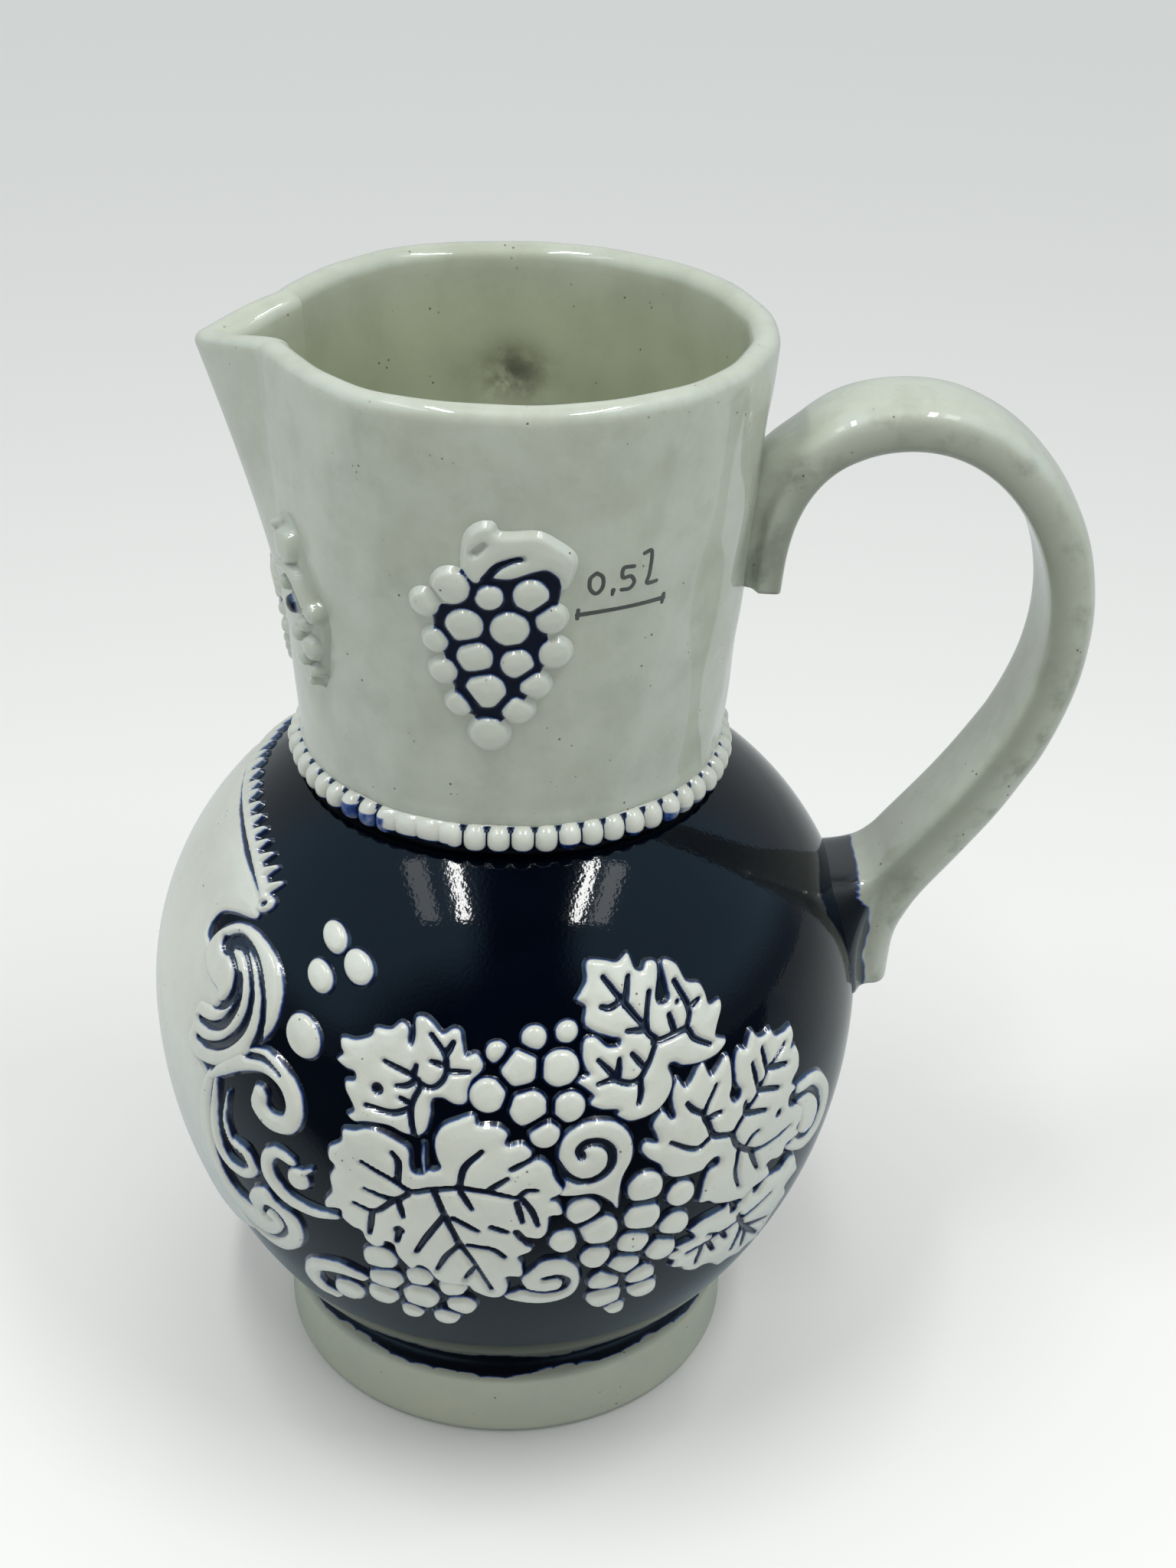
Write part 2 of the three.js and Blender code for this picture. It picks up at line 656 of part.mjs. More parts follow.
// Tendrils and scrolls: middle line and widths from the first point to the last
const RIBBONS = {
  tendril_middle: {
    line: [[14.6, -4.6], [15, 0], [15.4, 4], [13.2, 8], [9.6, 8.2], [7.4, 5.4], [8.4, 2], [11.4, 1.8]],
    widths: [0.9, 2.6, 2.2, 1.8, 1.2],
  },
  tendril_low: {
    line: [[-0.4, -20.8], [3.6, -21.8], [7.6, -20.6], [9, -17], [7, -14.4], [4, -15], [3.4, -17.8]],
    widths: [1.2, 2, 2.4, 1.8, 1.2],
  },
  tendril_right: {
    line: [[45, 2.6], [49.5, 2], [52.4, -2], [52, -6], [48.6, -8.2], [46, -7.4]],
    widths: [1, 2.4, 2.8, 2.2, 1.2],
  },
  curl_upper: {
    line: [[-24, -9.4], [-29, -10], [-33, -7.8], [-34.4, -4.4], [-32.8, -1.9], [-29.8, -2.2]],
    widths: [0.9, 1.9, 2.4, 2.2, 1.6],
  },
  curl_low: {
    line: [[-20.8, -21], [-25, -21.6], [-28, -24.4], [-27, -28], [-23.6, -28.6], [-21.4, -26.4]],
    widths: [1.4, 2.4, 2.8, 2.2, 1.6],
  },
  scroll_upper: {
    line: [[-50.4, 6.6], [-44.6, 8.6], [-39.2, 12.6], [-35.8, 18], [-37.2, 22.8], [-42, 23.6],
      [-45.8, 20.2]],
    widths: [3.4, 6.4, 6.8, 6.4, 4.4, 4],
  },
  scroll_middle: {
    line: [[-43, 4], [-39.6, 8.4], [-34.6, 11], [-30.4, 9.2], [-29.8, 5.2], [-32.8, 2.8], [-35.4, 4.6]],
    widths: [1.6, 2.6, 3, 3, 2.2],
  },
  scroll_lower: {
    line: [[-47.6, 3], [-48.8, -5], [-46.4, -13], [-41, -19.4], [-34.4, -20.6], [-31, -16.6],
      [-33.6, -12.6], [-37.2, -13.6]],
    widths: [1.8, 3, 3.4, 3.4, 3, 2.6],
  },
  scroll_hook: {
    line: [[-45, 1.6], [-46, -4], [-44, -9], [-40.4, -9.6], [-38.6, -6.8]],
    widths: [1.2, 2, 2.2, 1.8],
  },
};

// Grapes on the neck: berries below a folded leaf, about the middle of the sprig
const NECK_BERRIES = [[-9.2, 4.2, 2], [-5.8, 6.8, 2.3], [-1, 5.8, 1.8], [3.7, 6, 2.1],
  [-4.2, 1.6, 2.2], [1.2, 1.4, 2.3], [6.3, 2.6, 2], [-7.9, -1, 1.7], [-2.9, -2.8, 2.2],
  [2.2, -3.5, 2], [6.9, -2.2, 2], [-6.9, -5.3, 1.8], [-1.6, -7.5, 2.4], [4.5, -6.8, 1.9],
  [-4.9, -9.8, 1.8], [2.4, -10.3, 2], [-1.2, -13.8, 2.5]];
const NECK_LEAF = [[-4.6, 9.4], [-3.6, 13.6], [-1.4, 15.4], [1, 14.2], [5, 14.2], [9, 10.6],
  [8, 6.6], [6.4, 8.6], [1, 8.6], [-2.6, 7.6]];

// Neck sprig, scaled about its middle
function layNeckSprig(share, angle, height) {
  const scaled = (points) => points.map((point) => point.map((value) => value * share));
  const berries = scaled(NECK_BERRIES);
  const leaf = scaled(NECK_LEAF);
  const solid = bunchSolid(berries).add(toSolid(prism(leaf, 0, LEAF_RISE)));
  const outline = convexOutline([...leaf, ...bunchOutline(berries, SEAM)]);
  return laySprig(toGeometry(solid), outline, neckWall, angle, height);
}

// Toothed border over the panel, about the middle of the front
function borderOutline(grow) {
  const half = panelHalfWidth + BORDER_OVERHANG;
  const arch = (x) => PANEL_HIGH + SEAM + BORDER_ARCH * (1 - (x / half) ** 2);
  const points = [];
  for (let i = 0; i <= BORDER_TEETH * 2; i += 1) {
    const x = half - (half * i) / BORDER_TEETH;
    const tooth = i % 2 === 1 ? BORDER_TOOTH : 0;
    points.push([x, arch(x) + BORDER_WIDTH + tooth + grow]);
  }
  for (let i = 0; i <= BORDER_TEETH; i += 1) {
    const x = -half + (2 * half * i) / BORDER_TEETH;
    points.push([x, arch(x) - grow]);
  }
  return points;
}

// Bare panel under the spout, with drawn-in lower corners and an arched top:
// the right half from bottom to top, as shares of the half width and of the height or depth
const PANEL_EDGE = [[0.6, -1], [1, -0.55], [1, 0.3], [0.9, 0.9], [0.5, 1.12], [0.15, 1.2]];

function panelOutline() {
  const right = PANEL_EDGE.map(([across, up]) => {
    const height = up > 0 ? up * PANEL_HIGH : -up * PANEL_LOW;
    return [across * panelHalfWidth, height];
  });
  const left = right.map(([x, y]) => [-x, y]).reverse();
  return [...right, ...left];
}

// Assembly

addPiece('foot', makeFoot(), bareClay);
addPiece('belly_shell', makeBelly(), cobalt);
addPiece('neck_with_spout', makeNeck(), clay);
addPiece('bead_collar', makeCollar(), slip);
addPiece('handle', makeHandle(), clay);

const neckMiddle = (collarHigh + RIM_HEIGHT) / 2;
const sideSprig = layNeckSprig(1, radians(SIDE_SPRIG_TURN), neckMiddle - SIDE_SPRIG_DROP);
const frontSprig = layNeckSprig(FRONT_SPRIG_SHARE, radians(180), neckMiddle - FRONT_SPRIG_DROP);
const tuft = layNeckSprig(TUFT_SHARE, radians(TUFT_TURN), neckMiddle - TUFT_DROP);
addPiece('neck_grapes_left', sideSprig, slip);
addPiece('neck_grapes_right', mirrored(sideSprig), slip);
addPiece('neck_grapes_front', frontSprig, slip);
addPiece('neck_tuft_left', tuft, slip);
addPiece('neck_tuft_right', mirrored(tuft), slip);

Object.entries(LEAVES).forEach(([name, { at, tips }]) => {
  const flat = prism(moved(leafOutline(tips, 0), at), 0, LEAF_RISE);
  layPair(name, flat, moved(leafOutline(tips, SEAM), at), bellyWall, 0, slip);
});

Object.entries(RIBBONS).forEach(([name, { line, widths }]) => {
  const flat = prism(ribbonOutline(line, widths, 0), 0, SCROLL_RISE);
  layPair(name, flat, ribbonOutline(line, widths, SEAM), bellyWall, 0, slip);
});

Object.entries(BUNCHES).forEach(([name, berries]) => {
  layPair(name, toGeometry(bunchSolid(berries)), bunchOutline(berries, SEAM), bellyWall, 0, slip);
});

Object.entries(BERRIES).forEach(([name, berry]) => {
  const outline = circleOutline(berry, SEAM, BERRY_SIDES * 2);
  layPair(name, dome(berry, 0, BERRY_RISE), outline, bellyWall, 0, slip);
});

// What lies across the front is also cut clear of the right side's relief
const leftKeepOuts = [...keepOuts];
leftKeepOuts.forEach((keepOut) => keepOuts.push(keepOut.mirror([0, 1, 0])));

function layFront(name, outline, keptOutline, rise, finish) {
  addPiece(name, laySprig(prism(outline, 0, rise), keptOutline, bellyWall, radians(180), 0), finish);
}

layFront('panel_border', borderOutline(0), borderOutline(SEAM), BORDER_RISE, slip);
layFront('front_panel', panelOutline(), panelOutline(), PANEL_RISE, clay);

export default jug;
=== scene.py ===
"""Half-litre stoneware wine jug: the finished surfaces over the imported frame, as an add-on."""
import math

import bpy
import numpy as np
from bpy.props import FloatProperty, FloatVectorProperty, IntProperty, PointerProperty
from mathutils import Matrix, Vector


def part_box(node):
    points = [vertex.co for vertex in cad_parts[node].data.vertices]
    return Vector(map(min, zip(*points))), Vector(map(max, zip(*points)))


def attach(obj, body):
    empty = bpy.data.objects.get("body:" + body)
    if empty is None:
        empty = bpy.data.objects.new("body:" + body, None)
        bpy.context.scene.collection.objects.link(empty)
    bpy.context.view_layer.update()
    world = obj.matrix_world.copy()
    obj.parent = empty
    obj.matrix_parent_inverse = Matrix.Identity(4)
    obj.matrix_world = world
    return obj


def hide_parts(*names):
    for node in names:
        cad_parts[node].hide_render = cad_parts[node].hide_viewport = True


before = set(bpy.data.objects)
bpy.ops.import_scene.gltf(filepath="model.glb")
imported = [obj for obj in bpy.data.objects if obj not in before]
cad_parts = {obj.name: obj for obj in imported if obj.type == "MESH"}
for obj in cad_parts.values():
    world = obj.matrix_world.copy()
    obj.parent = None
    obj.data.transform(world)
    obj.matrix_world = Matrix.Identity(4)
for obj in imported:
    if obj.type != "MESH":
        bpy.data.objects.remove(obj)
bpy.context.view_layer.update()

bl_info = {
    "name": "Stoneware wine jug",
    "version": (1, 0, 0),
    "blender": (4, 0, 0),
    "location": "View3D > Sidebar > Jug",
    "description": "Builds a half-litre stoneware wine jug with vine relief, piece by piece",
    "category": "Add Mesh",
}

MM = 0.001


def node_box(node):
    """Lowest and highest corner of a frame node in millimetres."""
    low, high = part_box(node)
    return np.array(low) / MM, np.array(high) / MM


# Sizes in millimetres, from the frame where it has them
FOOT_RADIUS, _, FOOT_HEIGHT = node_box("foot")[1]
BELLY_LOW, BELLY_HIGH = node_box("belly_shell")
BELLY_RADIUS = BELLY_HIGH[0]
BELLY_FLOOR = BELLY_LOW[2]
NECK_SEAT_HEIGHT = BELLY_HIGH[2]
RIM_RADIUS, _, RIM_HEIGHT = node_box("neck_with_spout")[1]
COLLAR_LOW, COLLAR_HIGH = (corner[2] for corner in node_box("bead_collar"))
HANDLE_REACH = node_box("handle")[1][0]
BELLY_BASE_RADIUS = 30.7
BELLY_HEIGHT = 60.8
NECK_BASE_RADIUS = 28.8
# Directions in degrees: the middle of the side that the photo shows, and the middle of the front
SIDE = -90
FRONT = 180
# Spout: lengths in millimetres, angles in degrees from its middle
SPOUT_REACH = 8.2
SPOUT_DEPTH = 42
SPOUT_HALF_ANGLE = 16
SPOUT_TIP_SOFTNESS = 2.2
SPOUT_FLARE_POWER = 1.3
SPOUT_FLARE_MOST = 1.1
SPOUT_BEAK_POWER = 1.25
SPOUT_LIP_DIP = 2.3
SPOUT_LIP_DIP_ANGLE = 11
SPOUT_NOSE = 1.1
# Neck beside the spout: how far it is drawn out or in, at which angle from the spout, and over what angle
SPOUT_CHEEKS = ((0.5, 62, 14), (-0.7, 27, 13))
# Unevenness of the thrown neck: waves as amount, number round the neck, change with height and start
THROWN_RINGS = 0.07
THROWN_WAVES = ((0.1, 9, 0.13, 0), (0.07, 19, -0.21, 1))
THROWN_START = 24
THROWN_FADE = 16
# Sprigs on the neck: turn in degrees, height and rise in millimetres, and size as a share
SIDE_SPRIG_TURN = -93
SIDE_SPRIG_HEIGHT = 130.95
FRONT_SPRIG_HEIGHT = 119.75
FRONT_SPRIG_SHARE = 0.5
TUFT_TURN = -149.5
TUFT_HEIGHT = 126.4
TUFT_SHARE = 0.72
TUFT_RISE = 2.3
TUFT_PLATE_RISE = 0.6


# Soft steps and lines

def soft(value):
    """Smooth step from 0 to 1."""
    share = np.clip(value, 0, 1)
    return share * share * (3 - 2 * share)


def bump(value, middle, width):
    """Round bump of height 1 about a middle."""
    return np.exp(-((value - middle) / width) ** 2)


def spread(points, closed, steps=4):
    """Many points on a round line through the given ones."""
    knots = np.array(points, float)
    count = len(knots)
    if closed:
        rows = [np.roll(knots, shift, axis=0) for shift in (1, 0, -1, -2)]
    else:
        ends = [2 * knots[:1] - knots[1:2], knots, 2 * knots[-1:] - knots[-2:-1]]
        padded = np.vstack(ends)
        rows = [padded[shift:shift + count - 1] for shift in range(4)]
    before, start, end, after = (row[:, None, :] for row in rows)
    t = (np.arange(steps) / steps)[None, :, None]
    cubic = (3 * start - before - 3 * end + after) * t ** 3
    square = (2 * before - 5 * start + 4 * end - after) * t ** 2
    line = (0.5 * (2 * start + (end - before) * t + square + cubic)).reshape(-1, 2)
    return line if closed else np.vstack([line, knots[-1:]])


def run_along(line):
    """Length of a line up to each of its points, and its direction there."""
    lengths = np.concatenate([[0], np.cumsum(np.hypot(*np.diff(line, axis=0).T))])
    way = np.gradient(line, axis=0)
    return lengths, way / np.hypot(way[:, 0], way[:, 1])[:, None]


def line_gap(u, v, line):
    """Distance of points from a line, and the share of the line at which they are nearest."""
    best = np.full(u.shape, np.inf)
    share = np.zeros(u.shape)
    for index, (start, end) in enumerate(zip(line[:-1], line[1:])):
        step = end - start
        length_squared = max(float(step @ step), 1e-9)
        along = np.clip(((u - start[0]) * step[0] + (v - start[1]) * step[1]) / length_squared, 0, 1)
        gap = np.hypot(u - start[0] - along * step[0], v - start[1] - along * step[1])
        nearer = gap < best
        best[nearer] = gap[nearer]
        share[nearer] = (index + along[nearer]) / (len(line) - 1)
    return best, share


def within(u, v, loop):
    """Which points lie inside a closed line."""
    inside = np.zeros(u.shape, bool)
    for (u0, v0), (u1, v1) in zip(loop, np.roll(loop, -1, axis=0)):
        if v0 != v1:
            crossing = (v0 > v) != (v1 > v)
            inside ^= crossing & (u < u0 + (v - v0) * (u1 - u0) / (v1 - v0))
    return inside


def outline_depth(u, v, points):
    """How deep points lie inside a round outline, below 0 outside it."""
    loop = spread(points, True)
    gap, _ = line_gap(u, v, np.vstack([loop, loop[:1]]))
    return np.where(within(u, v, loop), gap, -gap)


def stroke_depth(u, v, points, widths):
    """How deep points lie inside a stroke whose width changes along its line."""
    gap, share = line_gap(u, v, spread(points, False))
    return np.interp(share, np.linspace(0, 1, len(widths)), widths) / 2 - gap


def disc_depth(u, v, disc):
    """How deep points lie inside a disc."""
    return disc[2] - np.hypot(u - disc[0], v - disc[1])


# Walls of the body

def arc_radius(inward, height):
    """Radius of an arc that starts upright and comes in by that much over that height."""
    return (inward ** 2 + height ** 2) / (2 * inward)


SHOULDER_ARC = arc_radius(BELLY_RADIUS - NECK_BASE_RADIUS, NECK_SEAT_HEIGHT - BELLY_HEIGHT)
LOWER_ARC = arc_radius(BELLY_RADIUS - BELLY_BASE_RADIUS, BELLY_HEIGHT - BELLY_FLOOR)


def belly_at(run, lift):
    """Radius and height on the belly wall, by the arc length above its widest ring."""
    run = np.asarray(run, float)
    arc = np.where(run > 0, SHOULDER_ARC, LOWER_ARC)
    turn = run / arc
    return BELLY_RADIUS - arc + (arc + lift) * np.cos(turn), BELLY_HEIGHT + (arc + lift) * np.sin(turn)


def off_belly(x, y, z):
    """Distance of points from the belly wall, measured level."""
    arc = np.where(z > BELLY_HEIGHT, SHOULDER_ARC, LOWER_ARC)
    wall = BELLY_RADIUS - arc + np.sqrt(np.clip(arc ** 2 - (z - BELLY_HEIGHT) ** 2, 0, None))
    return np.hypot(x, y) - wall


def neck_cone(height):
    """Radius of the neck without its spout."""
    share = (height - NECK_SEAT_HEIGHT) / (RIM_HEIGHT - NECK_SEAT_HEIGHT)
    return NECK_BASE_RADIUS + (RIM_RADIUS - NECK_BASE_RADIUS) * share


def spout_flare(height):
    """How far the spout has opened at a height, from 0 to 1."""
    return np.clip(1 - (RIM_HEIGHT - height) / SPOUT_DEPTH, 0, SPOUT_FLARE_MOST) ** SPOUT_FLARE_POWER


def degrees_from(direction, angle):
    """Degrees from a direction in degrees to an angle in radians."""
    return (np.degrees(angle) - direction + 180) % 360 - 180


def beak(angle):
    """Share of the spout's reach in a direction."""
    away = np.hypot(degrees_from(FRONT, angle), SPOUT_TIP_SOFTNESS) - SPOUT_TIP_SOFTNESS
    return np.clip(1 - away / SPOUT_HALF_ANGLE, 0, 1) ** SPOUT_BEAK_POWER


def hand_thrown(angle, height):
    """Slight unevenness that a potter's hand leaves in the neck."""
    uneven = THROWN_RINGS * np.sin(0.42 * height + 0.8 * np.sin(2 * angle))
    for amount, turns, climb, start in THROWN_WAVES:
        uneven = uneven + amount * np.sin(turns * angle + climb * height + start)
    return uneven


def neck_radius(angle, height):
    """Outer radius of the neck, drawn in beside the spout and a little fuller farther round."""
    away = np.abs(degrees_from(FRONT, angle))
    drawn = sum(amount * bump(away, middle, width) for amount, middle, width in SPOUT_CHEEKS)
    spout = spout_flare(height) * (SPOUT_REACH * beak(angle) + drawn)
    return neck_cone(height) + spout + hand_thrown(angle, height) * soft((away - THROWN_START) / THROWN_FADE)


def neck_bore(angle, height, wall):
    """Inner radius of the neck, a wall's thickness in from the outer face."""
    step = 0.01
    change = neck_radius(angle + step, height) - neck_radius(angle - step, height)
    outer = neck_radius(angle, height)
    slant = change / (2 * step * outer)
    return outer - wall * np.sqrt(1 + slant ** 2) - SPOUT_NOSE * spout_flare(height) * beak(angle)


def on_belly(u, v, lift, turn):
    """Points on the belly: u runs round the wall and v up it, both from the widest ring."""
    wall, _ = belly_at(v, 0)
    radius, height = belly_at(v, lift)
    angle = math.radians(turn) + u / wall
    return radius * np.cos(angle), radius * np.sin(angle), height


def side_to_front(u, v):
    """Place on the sheet of the front of a point given on the sheet of the side."""
    wall, _ = belly_at(v, 0)
    return u + math.pi / 2 * float(wall), v


def on_neck(u, v, lift, turn):
    """Points on the neck: u runs round the wall and v is the height."""
    angle = math.radians(turn) + u / neck_cone(v)
    radius = neck_radius(angle, v) + lift
    return radius * np.cos(angle), radius * np.sin(angle), v


# Relief of one side, in millimetres round the wall and up it from the middle of the side.
# Each leaf has an outline, veins cut into it and holes; strokes and discs are added to it.
LEAVES = {
    "leaf_large": {
        "outline": (
            (-12.4, 2.2), (-12.6, 5), (-13.6, 6), (-16, 6.9), (-18.2, 7.3), (-20, 6.5), (-22, 5.9),
            (-22.3, 4), (-24, 2.6), (-24.3, 0.8), (-23.4, -0.3), (-24.2, -2.4), (-24, -4.8), (-25.2, -7),
            (-24.8, -8.2), (-22.8, -7.7), (-22.6, -9), (-21, -10.3), (-19.8, -10.6), (-19.2, -12.2),
            (-17.8, -13.1), (-16.5, -12.6), (-16.2, -11.6), (-15.3, -11.8), (-14.8, -13.8), (-13.2, -16),
            (-12.4, -16.2), (-11.6, -15.2), (-10.6, -15.8), (-9.6, -17.6), (-7.8, -18.6), (-5.4, -18.4),
            (-4.6, -19.6), (-2.4, -21), (-0.4, -20.7), (0.2, -18.6), (0, -16.3), (1.6, -16.2),
            (2.2, -15.8), (2.1, -13.5), (1.6, -12), (3.2, -11), (3.2, -10), (1.8, -8.2), (4.2, -8.6),
            (5.2, -7.6), (5.4, -5.6), (5.6, -4.6), (7.2, -4.4), (6.6, -2.2), (5.6, -1.6), (7.3, -0.5),
            (6, 2), (5.6, 3.4), (4.2, 4.9), (2.6, 4.4), (3.2, 5.9), (1.8, 7.2), (0.2, 6.8), (-0.4, 7.2),
            (0, 8.6), (-1.4, 9.8), (-3.8, 9.7), (-4.4, 11), (-6.2, 10.4), (-8.4, 9.2), (-9.5, 7),
            (-9.2, 4.6), (-8.7, 3.2), (-9.4, 2.6), (-10.2, 2.6), (-11.2, 1.8)),
        "strokes": ((((-10.7, 2.2), (-10.9, 4), (-10.8, 6.2)), (0.7, 0.5)),),
        "veins": (
            ((-10, -0.5), (-6, 0.2), (-2, -0.3), (1.5, -1.2)), ((1.5, -1), (2.5, 0), (3.8, 0)),
            ((2, -1.5), (3.2, -3.5), (4, -6)), ((1.2, -2), (2, -5.3)),
            ((-6.2, 0.3), (-5.5, 3.5), (-3.3, 6)), ((-2.2, 0.3), (0, 2)), ((-6, -0.5), (-4.6, -3.2)),
            ((-9.5, -0.7), (-8.2, -4.5), (-6.5, -9), (-4.5, -13), (-2, -19)),
            ((-8.3, -5), (-10.5, -9), (-12, -12.3)), ((-7, -5), (-3.8, -7)),
            ((-6.3, -10), (-8, -12.5), (-9.2, -15.5)), ((-5, -9.8), (-2, -10.3), (-0.3, -11.8)),
            ((-4.3, -14.5), (-5.5, -17)), ((-10, -0.5), (-12.5, -1.3), (-15, 0), (-19.3, 1.8)),
            ((-14.3, 0.3), (-14.2, 3), (-15, 4.3)), ((-13, -2), (-15, -3.2), (-19, -2.5)),
            ((-14.3, -3.3), (-13.7, -6)), ((-15, -3.5), (-17.5, -6), (-20.5, -5.5)),
            ((-18, -6.5), (-18.5, -10.5)), ((0.5, 3.4), (2.6, 4.6)), ((-2, -6.2), (0, -7)),
            ((1.2, -7), (2.8, -9.5)), ((-14.2, -8.2), (-14.6, -10.8))),
        "holes": ((-14.3, -8.6, 0.8),),
    },
    "leaf_left": {
        "outline": (
            (-5.4, 12.6), (-5.2, 14.2), (-4.6, 15.6), (-3.2, 17.4), (-4, 19.2), (-5.4, 18.8), (-5.7, 20),
            (-6, 21.8), (-7, 22.2), (-8.4, 21.4), (-9.6, 22.6), (-10.8, 23.3), (-12, 22.8), (-12, 20.6),
            (-12.4, 19.2), (-12.9, 19.8), (-12.8, 21.3), (-13.8, 22), (-15.2, 20.8), (-17.3, 20.6),
            (-18, 19.4), (-20.2, 18.4), (-22.2, 18.2), (-22.3, 16.9), (-21.9, 16.2), (-22.9, 15.2),
            (-21.5, 14.4), (-20.3, 14.2), (-20.2, 13.2), (-21.5, 12.8), (-21.6, 11.6), (-20.7, 10),
            (-20.4, 9), (-21.4, 8.2), (-20.2, 7.4), (-18.6, 7.8), (-15.6, 8), (-13.8, 7.4), (-12.4, 7.2),
            (-11.6, 7.2), (-10.4, 8.2), (-9.9, 10.4), (-9.8, 12.6), (-8.4, 13), (-6.8, 12.3)),
        "veins": (
            ((-12, 15), (-10.5, 14.2), (-9.2, 14.4), (-8, 16), (-8, 18.5), (-9.8, 21)),
            ((-8, 18.5), (-7, 20.3)), ((-7.8, 16.5), (-5, 16.7)), ((-8.5, 17.3), (-9.8, 17.6)),
            ((-11.5, 14.8), (-12.8, 15.6), (-16, 16.6)), ((-12.2, 15.3), (-11.8, 16.8)),
            ((-11.2, 14.2), (-12.5, 11), (-12, 7)), ((-12.5, 11), (-15, 10), (-18.5, 10.3)),
            ((-11.6, 15), (-13, 14), (-14.4, 13.7)), ((-12.7, 11.7), (-13.9, 12.2))),
        "holes": ((-17, 12.8, 0.9),),
    },
    "leaf_top": {
        "outline": (
            (30.3, 15.6), (28.6, 16.6), (28.8, 18), (29.6, 20), (29.2, 21.2), (27.6, 21), (27, 22.6),
            (26, 24.2), (24, 25), (22.6, 27.4), (20.6, 28.6), (20.3, 27.4), (21.2, 24), (20.8, 23.2),
            (19.8, 23.2), (19.4, 24.4), (19.8, 27), (19.4, 28.6), (17.9, 29), (17.4, 28), (16.4, 28.4),
            (15.4, 30.6), (14, 29.6), (12, 30.2), (9.8, 30.4), (9.8, 28), (9, 26.3), (8.6, 25.6),
            (9.8, 24.6), (9.8, 22.2), (13, 20.4), (14.3, 19.9), (14.2, 19), (12.6, 19.2), (11, 20.6),
            (9.7, 20.4), (9.5, 18.6), (9.9, 16.8), (10.4, 15.8), (8.8, 15.2), (9.6, 14.4), (11, 13),
            (10.4, 12), (12, 11), (14.2, 10.6), (14.2, 9.8), (16, 8.7), (18.6, 8.9), (20.4, 9.8),
            (21.6, 11.4), (21.9, 13), (21.2, 14.9), (22, 15.2), (23.4, 14.4), (26, 14), (28.8, 14.3)),
        "veins": (
            ((19.5, 18.7), (18, 20.5), (18.3, 25)), ((18, 20.5), (15.5, 23.5), (12, 28)),
            ((15, 24), (15.4, 27.5)), ((14.5, 24.7), (13, 24), (11.8, 24.3)), ((18, 20.3), (15.3, 20.7)),
            ((19, 18.5), (21, 18.7), (23.8, 19), (25, 17.5), (27.5, 16)),
            ((23.8, 19), (24.2, 21.5), (22, 25.5)), ((24.2, 21.5), (25.7, 22.2)),
            ((22, 19.3), (21.2, 21.5)), ((19.3, 18.3), (18.3, 16), (17, 14.2), (15.5, 14), (13.4, 14.8),
                                         (11.5, 14.5)),
            ((13.8, 14.8), (13, 16), (11.5, 17.6)), ((14.2, 15), (14.3, 17.3)), ((17.8, 15.5), (16, 17.7)),
            ((17.2, 14), (17.3, 12.5), (17, 11))),
        "holes": ((22.4, 22.8, 0.4),),
    },
    "leaf_right": {
        "outline": (
            (31.9, 12.6), (32.6, 13.8), (33.6, 13.4), (34.6, 15.4), (36, 14), (37.4, 13.9), (38.4, 14.2),
            (39.4, 12.9), (41.2, 12.7), (42.8, 12.8), (43.3, 11.2), (42.6, 9.6), (43.8, 9.6), (44.6, 8),
            (44.4, 6), (43, 4.7), (44.2, 3.2), (42.6, 2.6), (43, 0.8), (45.6, 0), (46.4, -1.4), (46, -3),
            (45, -4), (46, -5.4), (44.4, -5.8), (42.6, -5.8), (42.2, -7), (40.8, -7.4), (39.4, -6.9),
            (38.6, -7.2), (39.4, -8.2), (39.6, -9.4), (38, -10), (36, -10.3), (34.4, -11.4), (33.4, -11),
            (31.8, -10.6), (29.4, -9.6), (28, -8.4), (26.6, -8), (26.7, -6.4), (27.2, -4), (27.9, -2.6),
            (29.4, -2.2), (29.6, -1.2), (28.6, -0.8), (27.6, -1.4), (26.6, -2.2), (22.6, -1.8),
            (21, -0.4), (20.4, 1), (18.6, 2.6), (17.6, 4.2), (18.2, 5.2), (20, 4.6), (19.6, 6),
            (19, 7.6), (20.4, 9.2), (21.6, 7.8), (22.2, 8), (21.8, 10), (21.8, 12), (22.6, 13),
            (23.6, 11.6), (24.4, 12), (25.4, 13.4), (26.4, 14.2), (27.2, 12.6), (27.8, 11.8), (29, 12.8),
            (30.2, 13.7), (31, 12.6), (31.3, 9.4), (31, 8), (31.6, 6.8), (32.4, 7), (32.7, 8),
            (31.9, 9.4)),
        "veins": (
            ((31.5, 2), (28.5, 3), (27.5, 5), (26.7, 7), (28.5, 10.3)), ((26.7, 6.8), (25, 8), (24, 9.2)),
            ((27.2, 6), (29.3, 6.2)), ((28, 3.2), (25.5, 2), (21.7, 4.2)),
            ((31.5, 2), (33.5, 4.3), (36, 6.5), (38, 9), (41, 11)), ((36, 6.8), (34.7, 11)),
            ((37.5, 9), (36.5, 12.3)), ((38.5, 8.8), (41.5, 8)), ((36.5, 6.5), (40, 5.2)),
            ((33.8, 4.2), (37.5, 3)), ((31.5, 2), (32.3, 0), (34, -1.7), (36, -2.8), (39, -3), (43, -2.5)),
            ((34, -1.2), (35, 0), (36.3, 0.3)), ((32.8, -1.2), (32.6, -5), (33.5, -8.3)),
            ((35.2, -3), (36.8, -6.7)), ((33.5, 4.8), (33.6, 6))),
        "holes": ((40.2, 1.2, 0.7),),
    },
    "leaf_low": {
        "outline": (
            (25.4, -13), (26.4, -12.2), (28.4, -11.6), (31, -11.4), (32, -10.7), (32.6, -12), (34.4, -12),
